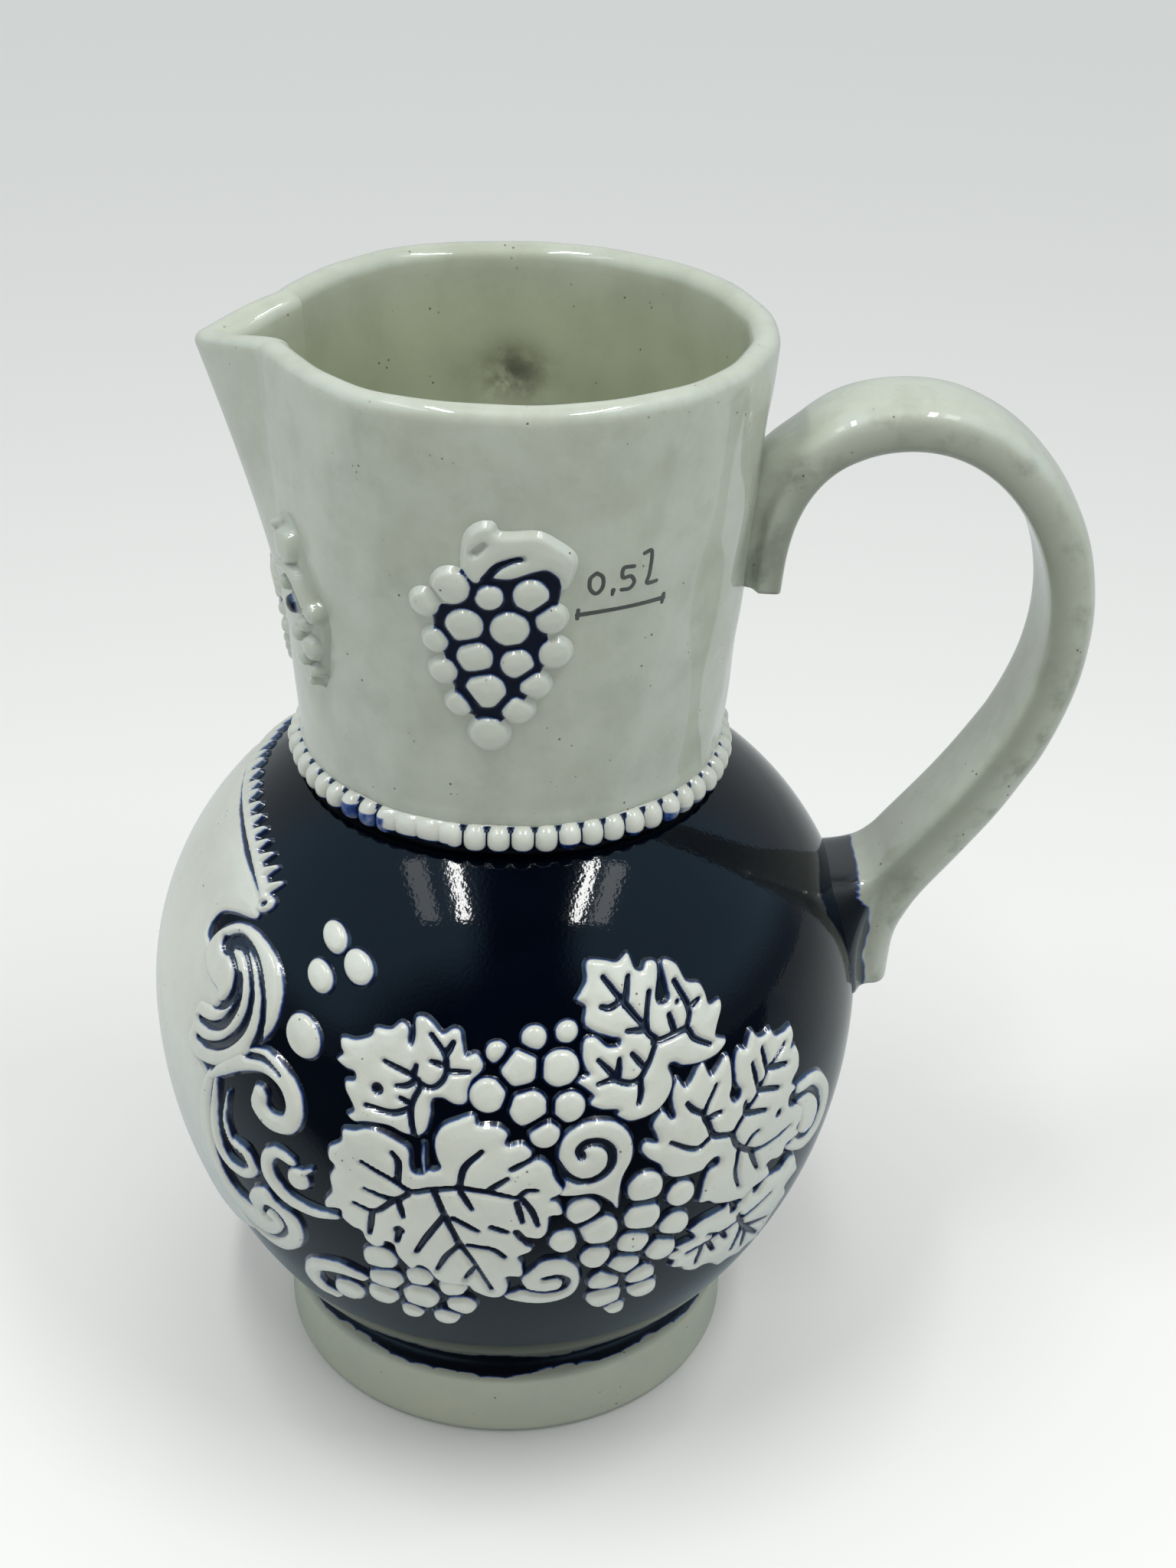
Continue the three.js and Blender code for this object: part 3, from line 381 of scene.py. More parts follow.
            (35, -11), (36.6, -10.6), (36.6, -11.8), (37.6, -12.2), (38.4, -11), (40, -10.2),
            (42.4, -10.6), (44, -9.6), (45.6, -9.8), (46.4, -11.6), (47, -13.6), (45.4, -14.6),
            (44.4, -15.4), (45, -17.6), (43.6, -19.4), (42, -21.4), (41, -23.4), (39.4, -25.4),
            (37.4, -25.2), (35.6, -26.2), (33.4, -25.6), (31.4, -26), (30.4, -24.6), (28.8, -23.4),
            (27, -23.5), (25.4, -22.6), (24.6, -21.2), (23, -20.2), (23.6, -19), (22.6, -18),
            (22.8, -17), (24, -16.6), (23.4, -15.8), (25, -15.4), (26.6, -15)),
        "veins": (
            ((34.5, -15.8), (31, -16.5), (28.7, -15.5)), ((31.3, -16.8), (32.2, -18.5)),
            ((25.5, -17.8), (28.5, -17.3), (34.5, -15.8)), ((28, -17.5), (27.2, -21.5)),
            ((29, -17.5), (30, -20)), ((34.5, -15.8), (34, -14.2)), ((34.5, -15.8), (38, -15), (40.5, -14)),
            ((34.5, -15.8), (35, -18), (33.7, -23)), ((36, -19.5), (36, -24)), ((35.6, -18.5), (39.5, -24)),
            ((35.5, -18), (41, -20.5))),
        "holes": ((33, -12.7, 0.8),),
    },
}
SCROLLS = {
    "scroll_upper": {
        "outline": (
            (-52, 6.2), (-50, 4.3), (-45, 5.4), (-40.5, 8.2), (-36.2, 12), (-33, 16), (-31.9, 20.5),
            (-33.3, 24.2), (-37.5, 25.9), (-42, 25.2), (-46.3, 22.8), (-48.7, 20), (-48.6, 17.6),
            (-46.8, 16.3), (-44.6, 15.6), (-46, 13.6), (-49, 12.8), (-50.3, 10.6), (-51, 8.5)),
        "veins": (
            ((-44.2, 22), (-40.5, 23.9), (-36.8, 22.8), (-35, 18.5), (-35.3, 14.5), (-36.8, 11.6)),
            ((-43.5, 22.3), (-40, 23), (-38, 21), (-37.3, 18), (-38.5, 14), (-42, 10.2), (-46, 8),
             (-49, 7.6)),
            ((-39.8, 19.5), (-40, 16.5), (-42.5, 12.8), (-45.5, 10.9), (-48.8, 10.3)),
            ((-44.4, 21.6), (-42.5, 21.3), (-40.9, 19.8), (-41.2, 17), (-43, 14.8), (-45.3, 13.7))),
        "vein_width": 1.35,
        "holes": ((-44, 21.7, 1.2),),
    },
    "scroll_middle": {
        "strokes": ((((-46, 3.4), (-42.5, 6.6), (-38, 9.6), (-34, 10.9), (-30.6, 9.4), (-29.4, 6.3),
                      (-30.6, 3.4), (-33.4, 2.7), (-35.6, 4.2), (-35.4, 6)),
                     (1.2, 2.2, 2.8, 3.6, 3.2, 3, 2.8, 2.8, 3, 2.6)),),
        "veins": (((-38, 10.4), (-34.5, 11.2), (-31.8, 10.2)),),
    },
    "scroll_lower": {
        "outline": (
            (-46.5, 4.3), (-48.6, 0), (-49.8, -6), (-48.8, -12), (-45.8, -17.2), (-42, -21), (-37, -23),
            (-32.8, -22.8), (-30, -20), (-29, -16), (-30.3, -13), (-33.5, -11.8), (-35.6, -10.3),
            (-38, -11.6), (-39.3, -14), (-38.6, -15.8), (-39.5, -16.3), (-43.5, -15), (-46, -10.5),
            (-46.7, -5), (-46.2, 0), (-45, 3.8)),
        "veins": (((-42.5, -19.8), (-38, -21.2), (-34.2, -20.2), (-32.2, -17), (-32.8, -14.6), (-34.8, -13.6),
                   (-36.2, -15.5), (-34.9, -16.2)),),
    },
    "scroll_hook": {
        "strokes": (
            (((-44.5, 4), (-45.6, -3), (-45.2, -7.6), (-43, -9.8), (-39.5, -9.8), (-37.6, -7.6), (-39, -5.2),
              (-41, -5)), (1, 1.8, 2, 2, 2, 1.8, 1.6, 1.4)),
            (((-42, 3), (-43, -2), (-41.8, -5), (-39.8, -5.8)), (0.6, 0.9, 1, 0.8))),
    },
    "curl_upper": {
        "strokes": ((((-23.4, -9.5), (-27, -10.2), (-31.5, -9.6), (-34.4, -7), (-34.6, -3.8), (-32.6, -2),
                      (-30.2, -2.5)), (1, 1.8, 2.2, 2.4, 2.2, 1.9, 1.4)),
                    (((-29.4, -4.4), (-27, -2.5)), (1.4, 0.6))),
        "discs": ((-29.2, -5, 1.9),),
    },
    "curl_low": {
        "strokes": ((((-19.9, -21.3), (-23.5, -20.9), (-27.3, -22.6), (-28.6, -25.8), (-27.2, -28.8),
                      (-24.4, -29.4)), (1.6, 2.6, 2.8, 2.8, 2.2, 1.6)),
                    (((-22.4, -26.2), (-20.6, -27.5)), (1.8, 0.8))),
        "discs": ((-22.4, -26.2, 2.4),),
    },
    "tendril_middle": {
        "outline": (
            (6.4, 5.6), (7.4, 8.2), (10.4, 9.7), (13.9, 9.1), (16.1, 6.6), (16.4, 3.4), (15.2, 0.6),
            (14.8, -2.4), (14.6, -4.8), (13.4, -3.2), (11.2, -1.5), (8.6, -1.4), (6.6, -1), (7.4, 0.4),
            (6.9, 2.6)),
        "veins": (((9.5, 4.8), (9.2, 5.8), (10.2, 6.7), (12.2, 6.4), (13.5, 4.9), (13.3, 2.7), (11.6, 1.2),
                   (9.5, 1), (7.8, 2), (6.4, 4)),),
        "vein_width": 1.3,
    },
    "tendril_low": {
        "outline": (
            (1.9, -17), (2.6, -15.5), (4.5, -13.3), (6, -12.9), (8, -13.2), (9.6, -15.5), (9.9, -18.5),
            (9, -21), (6.5, -22.4), (3.5, -22.5), (0.5, -21.5), (-0.3, -20.8), (1, -20), (2.2, -18.8)),
        "veins": (((5, -16.6), (6.8, -16.3), (8, -17.6), (7.3, -19.4), (5, -19.9), (2.8, -19.2),
                   (0.8, -18)),),
        "vein_width": 1.1,
    },
    "tendril_right": {
        "outline": (
            (44, 2.6), (47, 3.4), (50.5, 2.2), (53.4, -1.2), (53.7, -5), (51.6, -8.6), (47.6, -9.8),
            (44.4, -8.4), (42.6, -6.2), (44.5, -6.2), (45.5, -3)),
        "veins": (((44.5, 1.4), (47.5, 1), (49.8, -1), (50.6, -4), (49.2, -6.6), (46.6, -6.8),
                   (45, -5.4)),),
        "vein_width": 1.3,
    },
}
GRAPES = {
    "grapes_top": (
        (1.4, 17.3, 2.35), (6.6, 17.1, 2.4), (-2.6, 13.7, 2.3), (2.6, 12, 2.5), (7.8, 11.9, 2.1),
        (4.7, 8.4, 2), (3.2, 21.2, 1.6), (7.4, 21.7, 1.4), (-1.5, 19.4, 1.4)),
    "grapes_right": (
        (10, -4.3, 2.3), (18.4, -2.1, 2.55), (23.7, -4.9, 2.15), (12.2, -8.1, 2.6), (18.2, -7.2, 2.6),
        (7.4, -9.5, 1.9), (23, -10.3, 2.3), (17.1, -12, 2.3), (11.8, -13.4, 2.1), (15.9, -16.1, 2.3),
        (21.2, -14.7, 2.3), (13.2, -19.3, 2.3), (18.4, -19.7, 2.2), (13.3, -23.2, 2.5),
        (18.9, -23.2, 2.2), (15, -27, 1.5)),
    "grapes_low": (
        (-17.2, -15.4, 2.5), (-11.7, -17.9, 1.9), (-16.5, -20, 2.5), (-7.2, -19.3, 1.9),
        (-11.6, -22.8, 2.6), (-17, -24.2, 2.3), (-6, -23.6, 2.1), (-12.8, -27, 1.7), (-8.1, -27.2, 1.9)),
    "berry_single": ((-28.1, 16.5, 2.8),),
    "berry_trio_high": ((-23.8, 30.1, 2),),
    "berry_trio_near": ((-20, 27.4, 2.25),),
    "berry_trio_low": ((-25.8, 24.7, 2.05),),
}
# Sprig on the neck, about its own middle
NECK_BERRIES = (
    (-9.2, 4.1, 1.9), (-5.8, 6.9, 2.4), (-1.1, 5.7, 1.75), (3.8, 6, 2.2), (-4.2, 1.6, 2.3), (1.3, 1.4, 2.4),
    (6.4, 2.5, 2), (-7.9, -1, 1.7), (-2.9, -2.9, 2.2), (2.2, -3.5, 2), (6.9, -2.3, 2.1), (-6.9, -5.3, 1.8),
    (-1.6, -7.5, 2.5), (4.5, -6.8, 1.9), (-4.9, -9.8, 1.8), (2.4, -10.3, 2), (-1.2, -13.9, 2.5))
NECK_LEAF = (
    (-4.3, 11.5), (-3.9, 13.9), (-2.6, 15.3), (-0.9, 15.6), (-0.2, 14.4), (1.4, 14.2), (4.6, 14.3),
    (7, 13), (9, 11.2), (9.1, 9.4), (8, 6.8), (7.2, 8.2), (5.8, 9.4), (4.2, 9.2), (1.4, 8.2),
    (-1.4, 8.3), (-2.9, 7.6), (-4.2, 9.2))
NECK_SLITS = (((-1.6, 8.3), (-0.2, 10), (1.4, 10.8), (2.8, 11.1)), ((-2.9, 11.8), (-1.8, 12.9)))
NECK_FIELD = (
    (-8.2, 3.6), (-5.6, 5.2), (-4.6, 9.6), (-2.6, 7.8), (-1.8, 9.6), (1, 11), (3, 11.2), (3.4, 9.4), (6, 9.8),
    (7.4, 8.4), (7.6, 5.2), (6, 1), (6.4, -2), (4.4, -7), (2, -10.8), (-0.8, -12.6), (-3.4, -11.6),
    (-5.4, -8.6), (-6.6, -4), (-8, -0.6))
# Unpainted tuft beside the front sprig, about its own middle: plate, curl and berries, one of them blue
TUFT_PLATE = (
    (-5, 17.4), (-1.4, 17.4), (2.2, 14.5), (4, 10), (6.8, 4.6), (8.6, 0.6), (7.8, -4), (6.6, -9),
    (4.4, -13), (2.4, -10.5), (0.4, -6.4), (-2, -1), (-4, 4), (-6, 9), (-6.2, 13))
TUFT_KNOBS = {
    "strokes": (
        (((-5.2, 8.2), (-1.6, 9), (1.6, 7.9), (3.6, 5.6), (5, 3.7), (6.2, 2.6)),
         (2.2, 3, 3.4, 3.2, 3.4, 4)),),
    "discs": ((-1.4, 13.1, 3.5), (-4.8, 16, 1.3), (-3.2, 5.2, 1.7), (-0.8, 1.9, 2), (3, -0.6, 1.6),
              (4.6, -4.8, 2.5), (0.2, -3.4, 1.8), (1.8, -7.6, 1.9), (5, -9.2, 1.5), (3.8, -11.6, 1.2)),
}
TUFT_BLUE = (-0.8, 1.9, 1.9)
# Border over the panel: half of its middle line, from the middle of the front to its end
BORDER_TEETH = 19
BORDER_LINE = ((0, 35.5), (9.3, 35.1), (17.7, 33.5), (24.9, 30.9), (27.4, 29.4))
# Panel: half of its outline. The stretch beside the scrolls is given on the side's own sheet.
PANEL_BOTTOM = ((0, -29), (16, -28.5), (28, -26.5))
PANEL_SIDE = (
    (-38.9, -23.5), (-40.6, -21), (-44.4, -17), (-47.4, -12), (-48.5, -6), (-47.4, 0), (-46.8, 3),
    (-48.6, 4.4), (-50.6, 6.2), (-50, 8.5), (-49.4, 10.4), (-48.2, 12), (-45.4, 13.2), (-44, 15.2),
    (-46, 16.8), (-47.6, 18), (-48.2, 19.8), (-49.6, 20.8), (-49, 22.6), (-46.6, 24.7), (-43, 26),
    (-40.4, 26.6), (-38.6, 27.2), (-38, 28.4), (-38.2, 29.6))
PANEL_TOP = ((17.5, 32.1), (9.3, 33.9), (0, 34.4))
# Capacity mark on the neck, in millimetres round it from the side and up from the table
MARK_FORM = {
    "strokes": (
        (((9.4, 133.6), (15, 133.9), (21.4, 133.8)), (0.6, 0.5, 0.6)),
        (((9.4, 133.1), (9.5, 134.3)), (0.5, 0.5)),
        (((21.2, 133.2), (21.4, 134.3)), (0.5, 0.6)),
        (((11.7, 139.3), (10.9, 138.6), (10.9, 137.2), (11.7, 136.4), (12.5, 137.2), (12.5, 138.6),
          (11.7, 139.3)), (0.5, 0.5)),
        (((13.9, 136.6), (13.8, 136)), (0.6, 0.4)),
        (((16.6, 139.5), (15.2, 139.5), (15.1, 138.2), (16.2, 138.2), (16.7, 137.3), (16.1, 136.5),
          (15, 136.5)), (0.5, 0.5)),
        (((18, 141), (19.1, 141), (18.9, 138), (18.6, 136.7), (20.1, 136.6)), (0.5, 0.55, 0.55, 0.5))),
}
MARK_TURN = SIDE_SPRIG_TURN + 0.5
MARK_STEP = 0.12
MARK_RISE = 0.12
MARK_SINK = 0.08
MARK_SKIRT = 0.3
MARK_EDGE_OUT = 0.15
MARK_EDGE = 0.2


# Settings

def length(name, description, size):
    """A length setting, given in millimetres."""
    return FloatProperty(name=name, description=description, default=size * MM, unit="LENGTH")


def colour(name, description, shade):
    """A colour setting."""
    return FloatVectorProperty(name=name, description=description, default=(*shade, 1), subtype="COLOR",
                               size=4, min=0, max=1)


class JugSizes(bpy.types.PropertyGroup):
    """Sizes that can be set on the jug."""

    neck_wall: length("Neck wall", "Thickness of the neck and its lip", 4)
    body_wall: length("Belly wall", "Thickness of the belly", 4.5)
    foot_edge: length("Foot edge", "Rounding of the foot's lower edge", 1.6)
    bead_rise: length("Bead rise", "How far the collar's beads stand out", 2.1)
    bead_count: IntProperty(name="Beads", description="Number of beads round the collar", default=60)
    handle_width: length("Handle width", "Width of the strap", 14.5)
    handle_thickness: length("Handle thickness", "Thickness of the strap", 7.4)
    leaf_rise: length("Leaf rise", "How far leaves stand off the wall", 0.95)
    scroll_rise: length("Scroll rise", "How far scrolls stand off the wall", 1.05)
    berry_rise: length("Berry rise", "How far berries stand off the wall", 1.35)
    panel_rise: length("Panel rise", "How far the panel stands off the wall", 0.6)
    vein_width: length("Vein width", "Width of the veins cut into the leaves", 1.0)
    relief_step: length("Relief step", "Spacing of the points of the relief", 0.28)


class JugColours(bpy.types.PropertyGroup):
    """Colours that can be set on the jug and its stage."""

    stoneware: colour("Stoneware", "Salt-glazed clay of neck and handle", (0.455, 0.49, 0.42))
    stoneware_dark: colour("Stoneware shade", "Darker cloudy places of the clay", (0.395, 0.425, 0.35))
    inside: colour("Inside", "Clay inside the neck", (0.38, 0.415, 0.29))
    # Painted shade on the handle's flanks and in the tufts' hollows; the same colour also gives the smudges
    smoked: colour("Painted shade and smudges", "Darker clay on the flanks of the handle", (0.225, 0.248, 0.195))
    # Painted shade in the dent inside the neck
    stain: colour("Painted dent shade", "Dark dent inside the neck", (0.11, 0.115, 0.085))
    speck: colour("Specks", "Iron specks in the clay", (0.10, 0.08, 0.055))
    bare_foot: colour("Foot", "Dry clay of the foot", (0.43, 0.455, 0.36))
    glaze: colour("Glaze", "Near-black blue glaze", (0.0006, 0.0018, 0.0055))
    thin_glaze: colour("Thin glaze", "Navy glaze in the hollows of the relief", (0.0013, 0.005, 0.02))
    cobalt: colour("Cobalt", "Bright blue where the glaze runs thin", (0.014, 0.062, 0.27))
    slip: colour("Slip", "Off-white relief", (0.61, 0.635, 0.57))
    mark: colour("Mark", "Grey of the capacity mark", (0.065, 0.07, 0.065))
    floor: colour("Floor", "Paper under the jug", (0.84, 0.845, 0.84))
    floor_far: colour("Far floor", "Paper far behind the jug", (0.84, 0.86, 0.845))


# Making and shaping meshes

def select_only(piece):
    """Makes a piece the one selected object."""
    bpy.ops.object.select_all(action="DESELECT")
    piece.select_set(True)
    bpy.context.view_layer.objects.active = piece


def add_sheet(name, columns, rows):
    """A flat sheet with so many faces each way, and where its points lie in it from 0 to 1."""
    bpy.ops.object.select_all(action="DESELECT")
    bpy.ops.mesh.primitive_grid_add(x_subdivisions=columns, y_subdivisions=rows, size=1)
    piece = bpy.context.active_object
    piece.name = name
    flat = np.empty(len(piece.data.vertices) * 3)
    piece.data.vertices.foreach_get("co", flat)
    flat = flat.reshape(-1, 3)
    return piece, flat[:, 0] + 0.5, flat[:, 1] + 0.5


def add_wound(name, columns, profile):
    """A sheet to wind round the axis: the piece, the share of the way round and the profile's points."""
    last = len(profile) - 1
    piece, round_share, along = add_sheet(name, columns, last)
    return piece, round_share, *profile[np.rint(along * last).astype(int)].T


def place_points(piece, x, y, z):
    """Moves the points of a piece to places in millimetres."""
    places = np.stack([x, y, z], axis=1) * MM
    piece.data.vertices.foreach_set("co", places.ravel())
    piece.data.update()


def place_round(piece, radius, angle, height):
    """Moves the points of a piece to places round the axis."""
    place_points(piece, radius * np.cos(angle), radius * np.sin(angle), height)


def store(piece, **values):
    """Keeps one value of each name for each point, for the material."""
    for name, value in values.items():
        layer = piece.data.attributes.new(name, "FLOAT", "POINT")
        layer.data.foreach_set("value", np.broadcast_to(np.float32(value), len(layer.data)))


def close_up(piece, fill=False):
    """Joins points that meet, closes open ends where asked and turns all faces outward."""
    select_only(piece)
    bpy.ops.object.mode_set(mode="EDIT")
    bpy.ops.mesh.select_all(action="SELECT")
    bpy.ops.mesh.remove_doubles(threshold=1e-6)
    if fill:
        bpy.ops.mesh.fill_holes(sides=0)
    bpy.ops.mesh.select_all(action="SELECT")
    bpy.ops.mesh.normals_make_consistent(inside=False)
    bpy.ops.object.mode_set(mode="OBJECT")


def drop_points(piece, mask):
    """Deletes the marked points."""
    select_only(piece)
    bpy.ops.object.mode_set(mode="EDIT")
    bpy.ops.mesh.select_mode(type="VERT")
    bpy.ops.mesh.select_all(action="DESELECT")
    bpy.ops.object.mode_set(mode="OBJECT")
    piece.data.vertices.foreach_set("select", mask)
    bpy.ops.object.mode_set(mode="EDIT")
    bpy.ops.mesh.delete(type="VERT")
    bpy.ops.object.mode_set(mode="OBJECT")


def finish(context, piece, coat, node):
    """Smooths a piece, gives it its material and ties it to the frame."""
    select_only(piece)
    bpy.ops.object.shade_smooth()
    piece.data.materials.append(material(context, coat))
    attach(piece, "root")
    if node:
        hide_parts(node)


def other_side(piece, name):
    """A copy of a piece, mirrored to the far side."""
    copy = piece.copy()
    copy.data = piece.data.copy()
    copy.name = name
    bpy.context.collection.objects.link(copy)
    places = np.empty(len(copy.data.vertices) * 3)
    copy.data.vertices.foreach_get("co", places)
    places[1::3] *= -1
    copy.data.vertices.foreach_set("co", places)
    copy.data.flip_normals()
    copy.data.update()
    return copy


def add_pair(context, piece, name, coat="relief_slip"):
    """Finishes a piece of the left side and adds its mirrored fellow."""
    fellow = other_side(piece, name + "_piece_right")
    finish(context, piece, coat, name + "_left")
    finish(context, fellow, coat, name + "_right")


# Relief as height fields on a wall, in millimetres

# Soft edge of a form outside and inside its outline, the margin round it and how far that dips into the wall
EDGE_OUT = 0.5
EDGE_IN = 0.7
BERRY_EDGE_IN = 0.45
SKIRT = 0.9
SINK = 0.25
SINK_START = 0.3
FAR_OUTSIDE = -9.0
# Veins: share of the rise that they cut away, and where their flanks start and how wide they are
CUT_SHARE = 0.85
CUT_START = 0.2
CUT_FLANK = 0.5
VEIN_TAPER = (1, 1.05, 0.8)
# Swelling of a form between its veins
PILLOW_RISE = 0.2
PILLOW_REACH = 1.3
PILLOW_MOST = 6
PILLOW_EDGE = 2.5
# Berries: space between them, share of the rise at their edge and how far in they are rounded
BERRY_GAP = 1.1
NECK_BERRY_GAP = 0.95
BERRY_INSET = 0.05
BERRY_SHOULDER = 0.62
BERRY_ROUNDING = 2.2
# Sprigs on the neck: room, slits, dark field under the berries and their tints
NECK_SPRIG_BOX = ((-11.4, -16.6), (9.4, 15.8))
NECK_SLIT_WIDTH = 1.1
NECK_FIELD_RISE = 0.25
NECK_FIELD_START = 0.1
NECK_FIELD_FADE = 0.5
NECK_SPRIG_BARE = 0.55
TUFT_FADE = 0.6
# Painted shade in the hollows between the tuft's knobs
TUFT_PAINTED_SHADE = 0.35
TUFT_BLUE_START = 0.3
TUFT_BLUENESS = 0.64


def joined_depth(u, v, outline=(), strokes=(), discs=()):
    """How deep points lie inside an outline, strokes and discs taken together."""
    depth = outline_depth(u, v, outline) if outline else np.full(u.shape, FAR_OUTSIDE)
    for points, widths in strokes:
        depth = np.maximum(depth, stroke_depth(u, v, points, widths))
    for disc in discs:
        depth = np.maximum(depth, disc_depth(u, v, disc))
    return depth


def form_depth(u, v, form):
    """How deep points lie inside a form."""
    return joined_depth(u, v, form.get("outline", ()), form.get("strokes", ()), form.get("discs", ()))


def vein_depth(u, v, form, width):
    """How deep points lie inside the veins and holes of a form."""
    width = form.get("vein_width", width)
    widths = [width * share for share in VEIN_TAPER]
    strokes = [(points, widths) for points in form.get("veins", ())]
    return joined_depth(u, v, (), strokes, form.get("holes", ()))


def berry_depth(u, v, berries, space):
    """How deep points lie inside berries that flatten against each other with a space between."""
    gaps = np.sort(np.stack([-disc_depth(u, v, berry) for berry in berries]), axis=0)
    depth = -BERRY_INSET - gaps[0]
    if len(berries) > 1:
        depth = np.minimum(depth, (gaps[1] - gaps[0] - space) / 2)
    return depth


def form_bounds(form):
    """Lowest and highest corner of a form's outline, strokes and discs."""
    points = list(form.get("outline", ()))
    for line, widths in form.get("strokes", ()):
        points += [(u + side, v + side) for u, v in line for side in (-max(widths) / 2, max(widths) / 2)]
    for u, v, radius in form.get("discs", ()):
        points += [(u - radius, v - radius), (u + radius, v + radius)]
    return np.min(points, axis=0), np.max(points, axis=0)


def relief_sheet(name, low, high, step):
    """A sheet that covers a form with a margin, and where its points lie on the wall."""
    low = np.asarray(low) - SKIRT - step
    high = np.asarray(high) + SKIRT + step
    columns, rows = np.ceil((high - low) / step).astype(int)
    piece, across, up = add_sheet(name, int(columns), int(rows))
    return piece, low[0] + (high[0] - low[0]) * across, low[1] + (high[1] - low[1]) * up


def lay(piece, places, keep, **values):
    """Lays a height field on its wall, trims it to its form and gives it a back."""
    place_points(piece, *places)
    store(piece, **values)
    drop_points(piece, ~keep)
    select_only(piece)
    bpy.ops.object.modifier_add(type="SOLIDIFY")
    backing = piece.modifiers[-1]
    backing.thickness = SKIRT * MM
    backing.offset = -1
    bpy.ops.object.modifier_apply(modifier=backing.name)
    return piece


def sunk(depth):
    """How far the margin round a form dips into the wall."""
    return SINK * np.clip((-SINK_START - depth) / SINK_START, 0, 1)


def carve(depth, groove, rise):
    """Height and tint of a form whose edges are soft and whose veins are cut in."""
    edge = soft((depth + EDGE_OUT) / (EDGE_OUT + EDGE_IN))
    cut = soft((groove + CUT_START) / CUT_FLANK)
    swelling = 1 - np.exp(-np.clip(-groove, 0, PILLOW_MOST) / PILLOW_REACH)
    pillow = PILLOW_RISE * swelling * soft(depth / PILLOW_EDGE)
    return (rise + pillow) * edge * (1 - CUT_SHARE * cut) - sunk(depth), edge * (1 - cut)


def swell(depth, rise):
    """Height and tint of berries."""
    edge = soft((depth + EDGE_OUT) / (EDGE_OUT + BERRY_EDGE_IN))
    dome = BERRY_SHOULDER + (1 - BERRY_SHOULDER) * np.sqrt(np.clip(depth / BERRY_ROUNDING, 0, 1))
    return rise * edge * dome - sunk(depth), edge


def add_form(name, form, turn, rise, sizes):
    """A leaf, scroll, tendril or panel on the belly."""
    piece, u, v = relief_sheet(name, *form_bounds(form), sizes.relief_step / MM)
    depth = form_depth(u, v, form)
    height, tint = carve(depth, vein_depth(u, v, form, sizes.vein_width / MM), rise)
    return lay(piece, on_belly(u, v, height, turn), depth > -SKIRT, relief=tint)


def add_side_forms(context, forms, rise):
    """Leaves, scrolls or tendrils on both sides of the belly."""
    for name, form in forms.items():
        piece = add_form(name + "_piece_left", form, SIDE, rise / MM, context.scene.jug_sizes)
        add_pair(context, piece, name)


def add_berries(name, berries, sizes):
    """A bunch of berries, or a single one, on the belly."""
    piece, u, v = relief_sheet(name, *form_bounds({"discs": berries}), sizes.relief_step / MM)
    depth = berry_depth(u, v, berries, BERRY_GAP)
    height, tint = swell(depth, sizes.berry_rise / MM)
    return lay(piece, on_belly(u, v, height, SIDE), depth > -SKIRT, relief=tint)


def add_tuft(name, sizes):
    """A small unpainted tuft with a curl and one blue berry, laid on the neck, with painted shade in its
    hollows.
    """
    low, high = form_bounds({"outline": TUFT_PLATE})
    piece, u, v = relief_sheet(name, low * TUFT_SHARE, high * TUFT_SHARE, sizes.relief_step / MM)
    across = u / TUFT_SHARE
    up = v / TUFT_SHARE
    plate = outline_depth(across, up, TUFT_PLATE) * TUFT_SHARE
    knobs = form_depth(across, up, TUFT_KNOBS) * TUFT_SHARE
    base, _ = carve(plate, joined_depth(across, up), TUFT_PLATE_RISE)
    lift, _ = swell(knobs, TUFT_RISE)
    # Painted shade: darkest in the hollows between the knobs
    hollow = 1 - soft((knobs + TUFT_FADE / 2) / TUFT_FADE)
    blue = soft(disc_depth(across, up, TUFT_BLUE) / TUFT_FADE + TUFT_BLUE_START)
    places = on_neck(u, v + TUFT_HEIGHT, np.maximum(base, lift), TUFT_TURN)
    return lay(piece, places, np.maximum(plate, knobs) > -SKIRT, smoke=TUFT_PAINTED_SHADE * hollow,
               glaze=TUFT_BLUENESS * blue)


def add_neck_sprig(name, share, turn, height, sizes):
    """A bunch of grapes under a folded leaf, scaled about its middle and laid on the neck."""
    low, high = np.array(NECK_SPRIG_BOX) * share
    piece, u, v = relief_sheet(name, low, high, sizes.relief_step / MM)
    across = u / share
    up = v / share
    berries = berry_depth(across, up, NECK_BERRIES, NECK_BERRY_GAP) * share
    leaf = outline_depth(across, up, NECK_LEAF) * share
    slits = vein_depth(across, up, {"veins": NECK_SLITS}, NECK_SLIT_WIDTH) * share
    field = outline_depth(across, up, NECK_FIELD) * share
    bunch, bunch_tint = swell(berries, sizes.berry_rise / MM * share ** 0.5)
    fold, fold_tint = carve(leaf, slits, sizes.leaf_rise / MM * share ** 0.5)
    on_leaf = leaf > berries
    dark = soft((field + NECK_FIELD_START) / NECK_FIELD_FADE)
    lift = np.maximum(np.where(on_leaf, fold, bunch), dark * NECK_FIELD_RISE - (1 - dark) * SINK)
    tint = np.maximum(np.where(on_leaf, fold_tint, bunch_tint), 1 - dark)
    keep = np.maximum(np.maximum(berries, leaf), field) > -SKIRT
    return lay(piece, on_neck(u, v + height, lift, turn), keep, relief=tint, bare=NECK_SPRIG_BARE)


# Nodes of materials and surroundings

# Detail and roughness of the noise that breaks up smudges and stains
PATCH_DETAIL = (4, 0.62)


def new_nodes(owner):
    """Empties a material or world and returns its node tree."""
    owner.use_nodes = True
    owner.node_tree.nodes.clear()
    return owner.node_tree


def feed(tree, socket, source):
    """Links a socket to another node's output, or sets it to a number or colour."""
    if isinstance(source, bpy.types.NodeSocket):
        tree.links.new(source, socket)
    elif isinstance(source, (int, float)):
        socket.default_value = source
    else:
        socket.default_value = tuple(source)


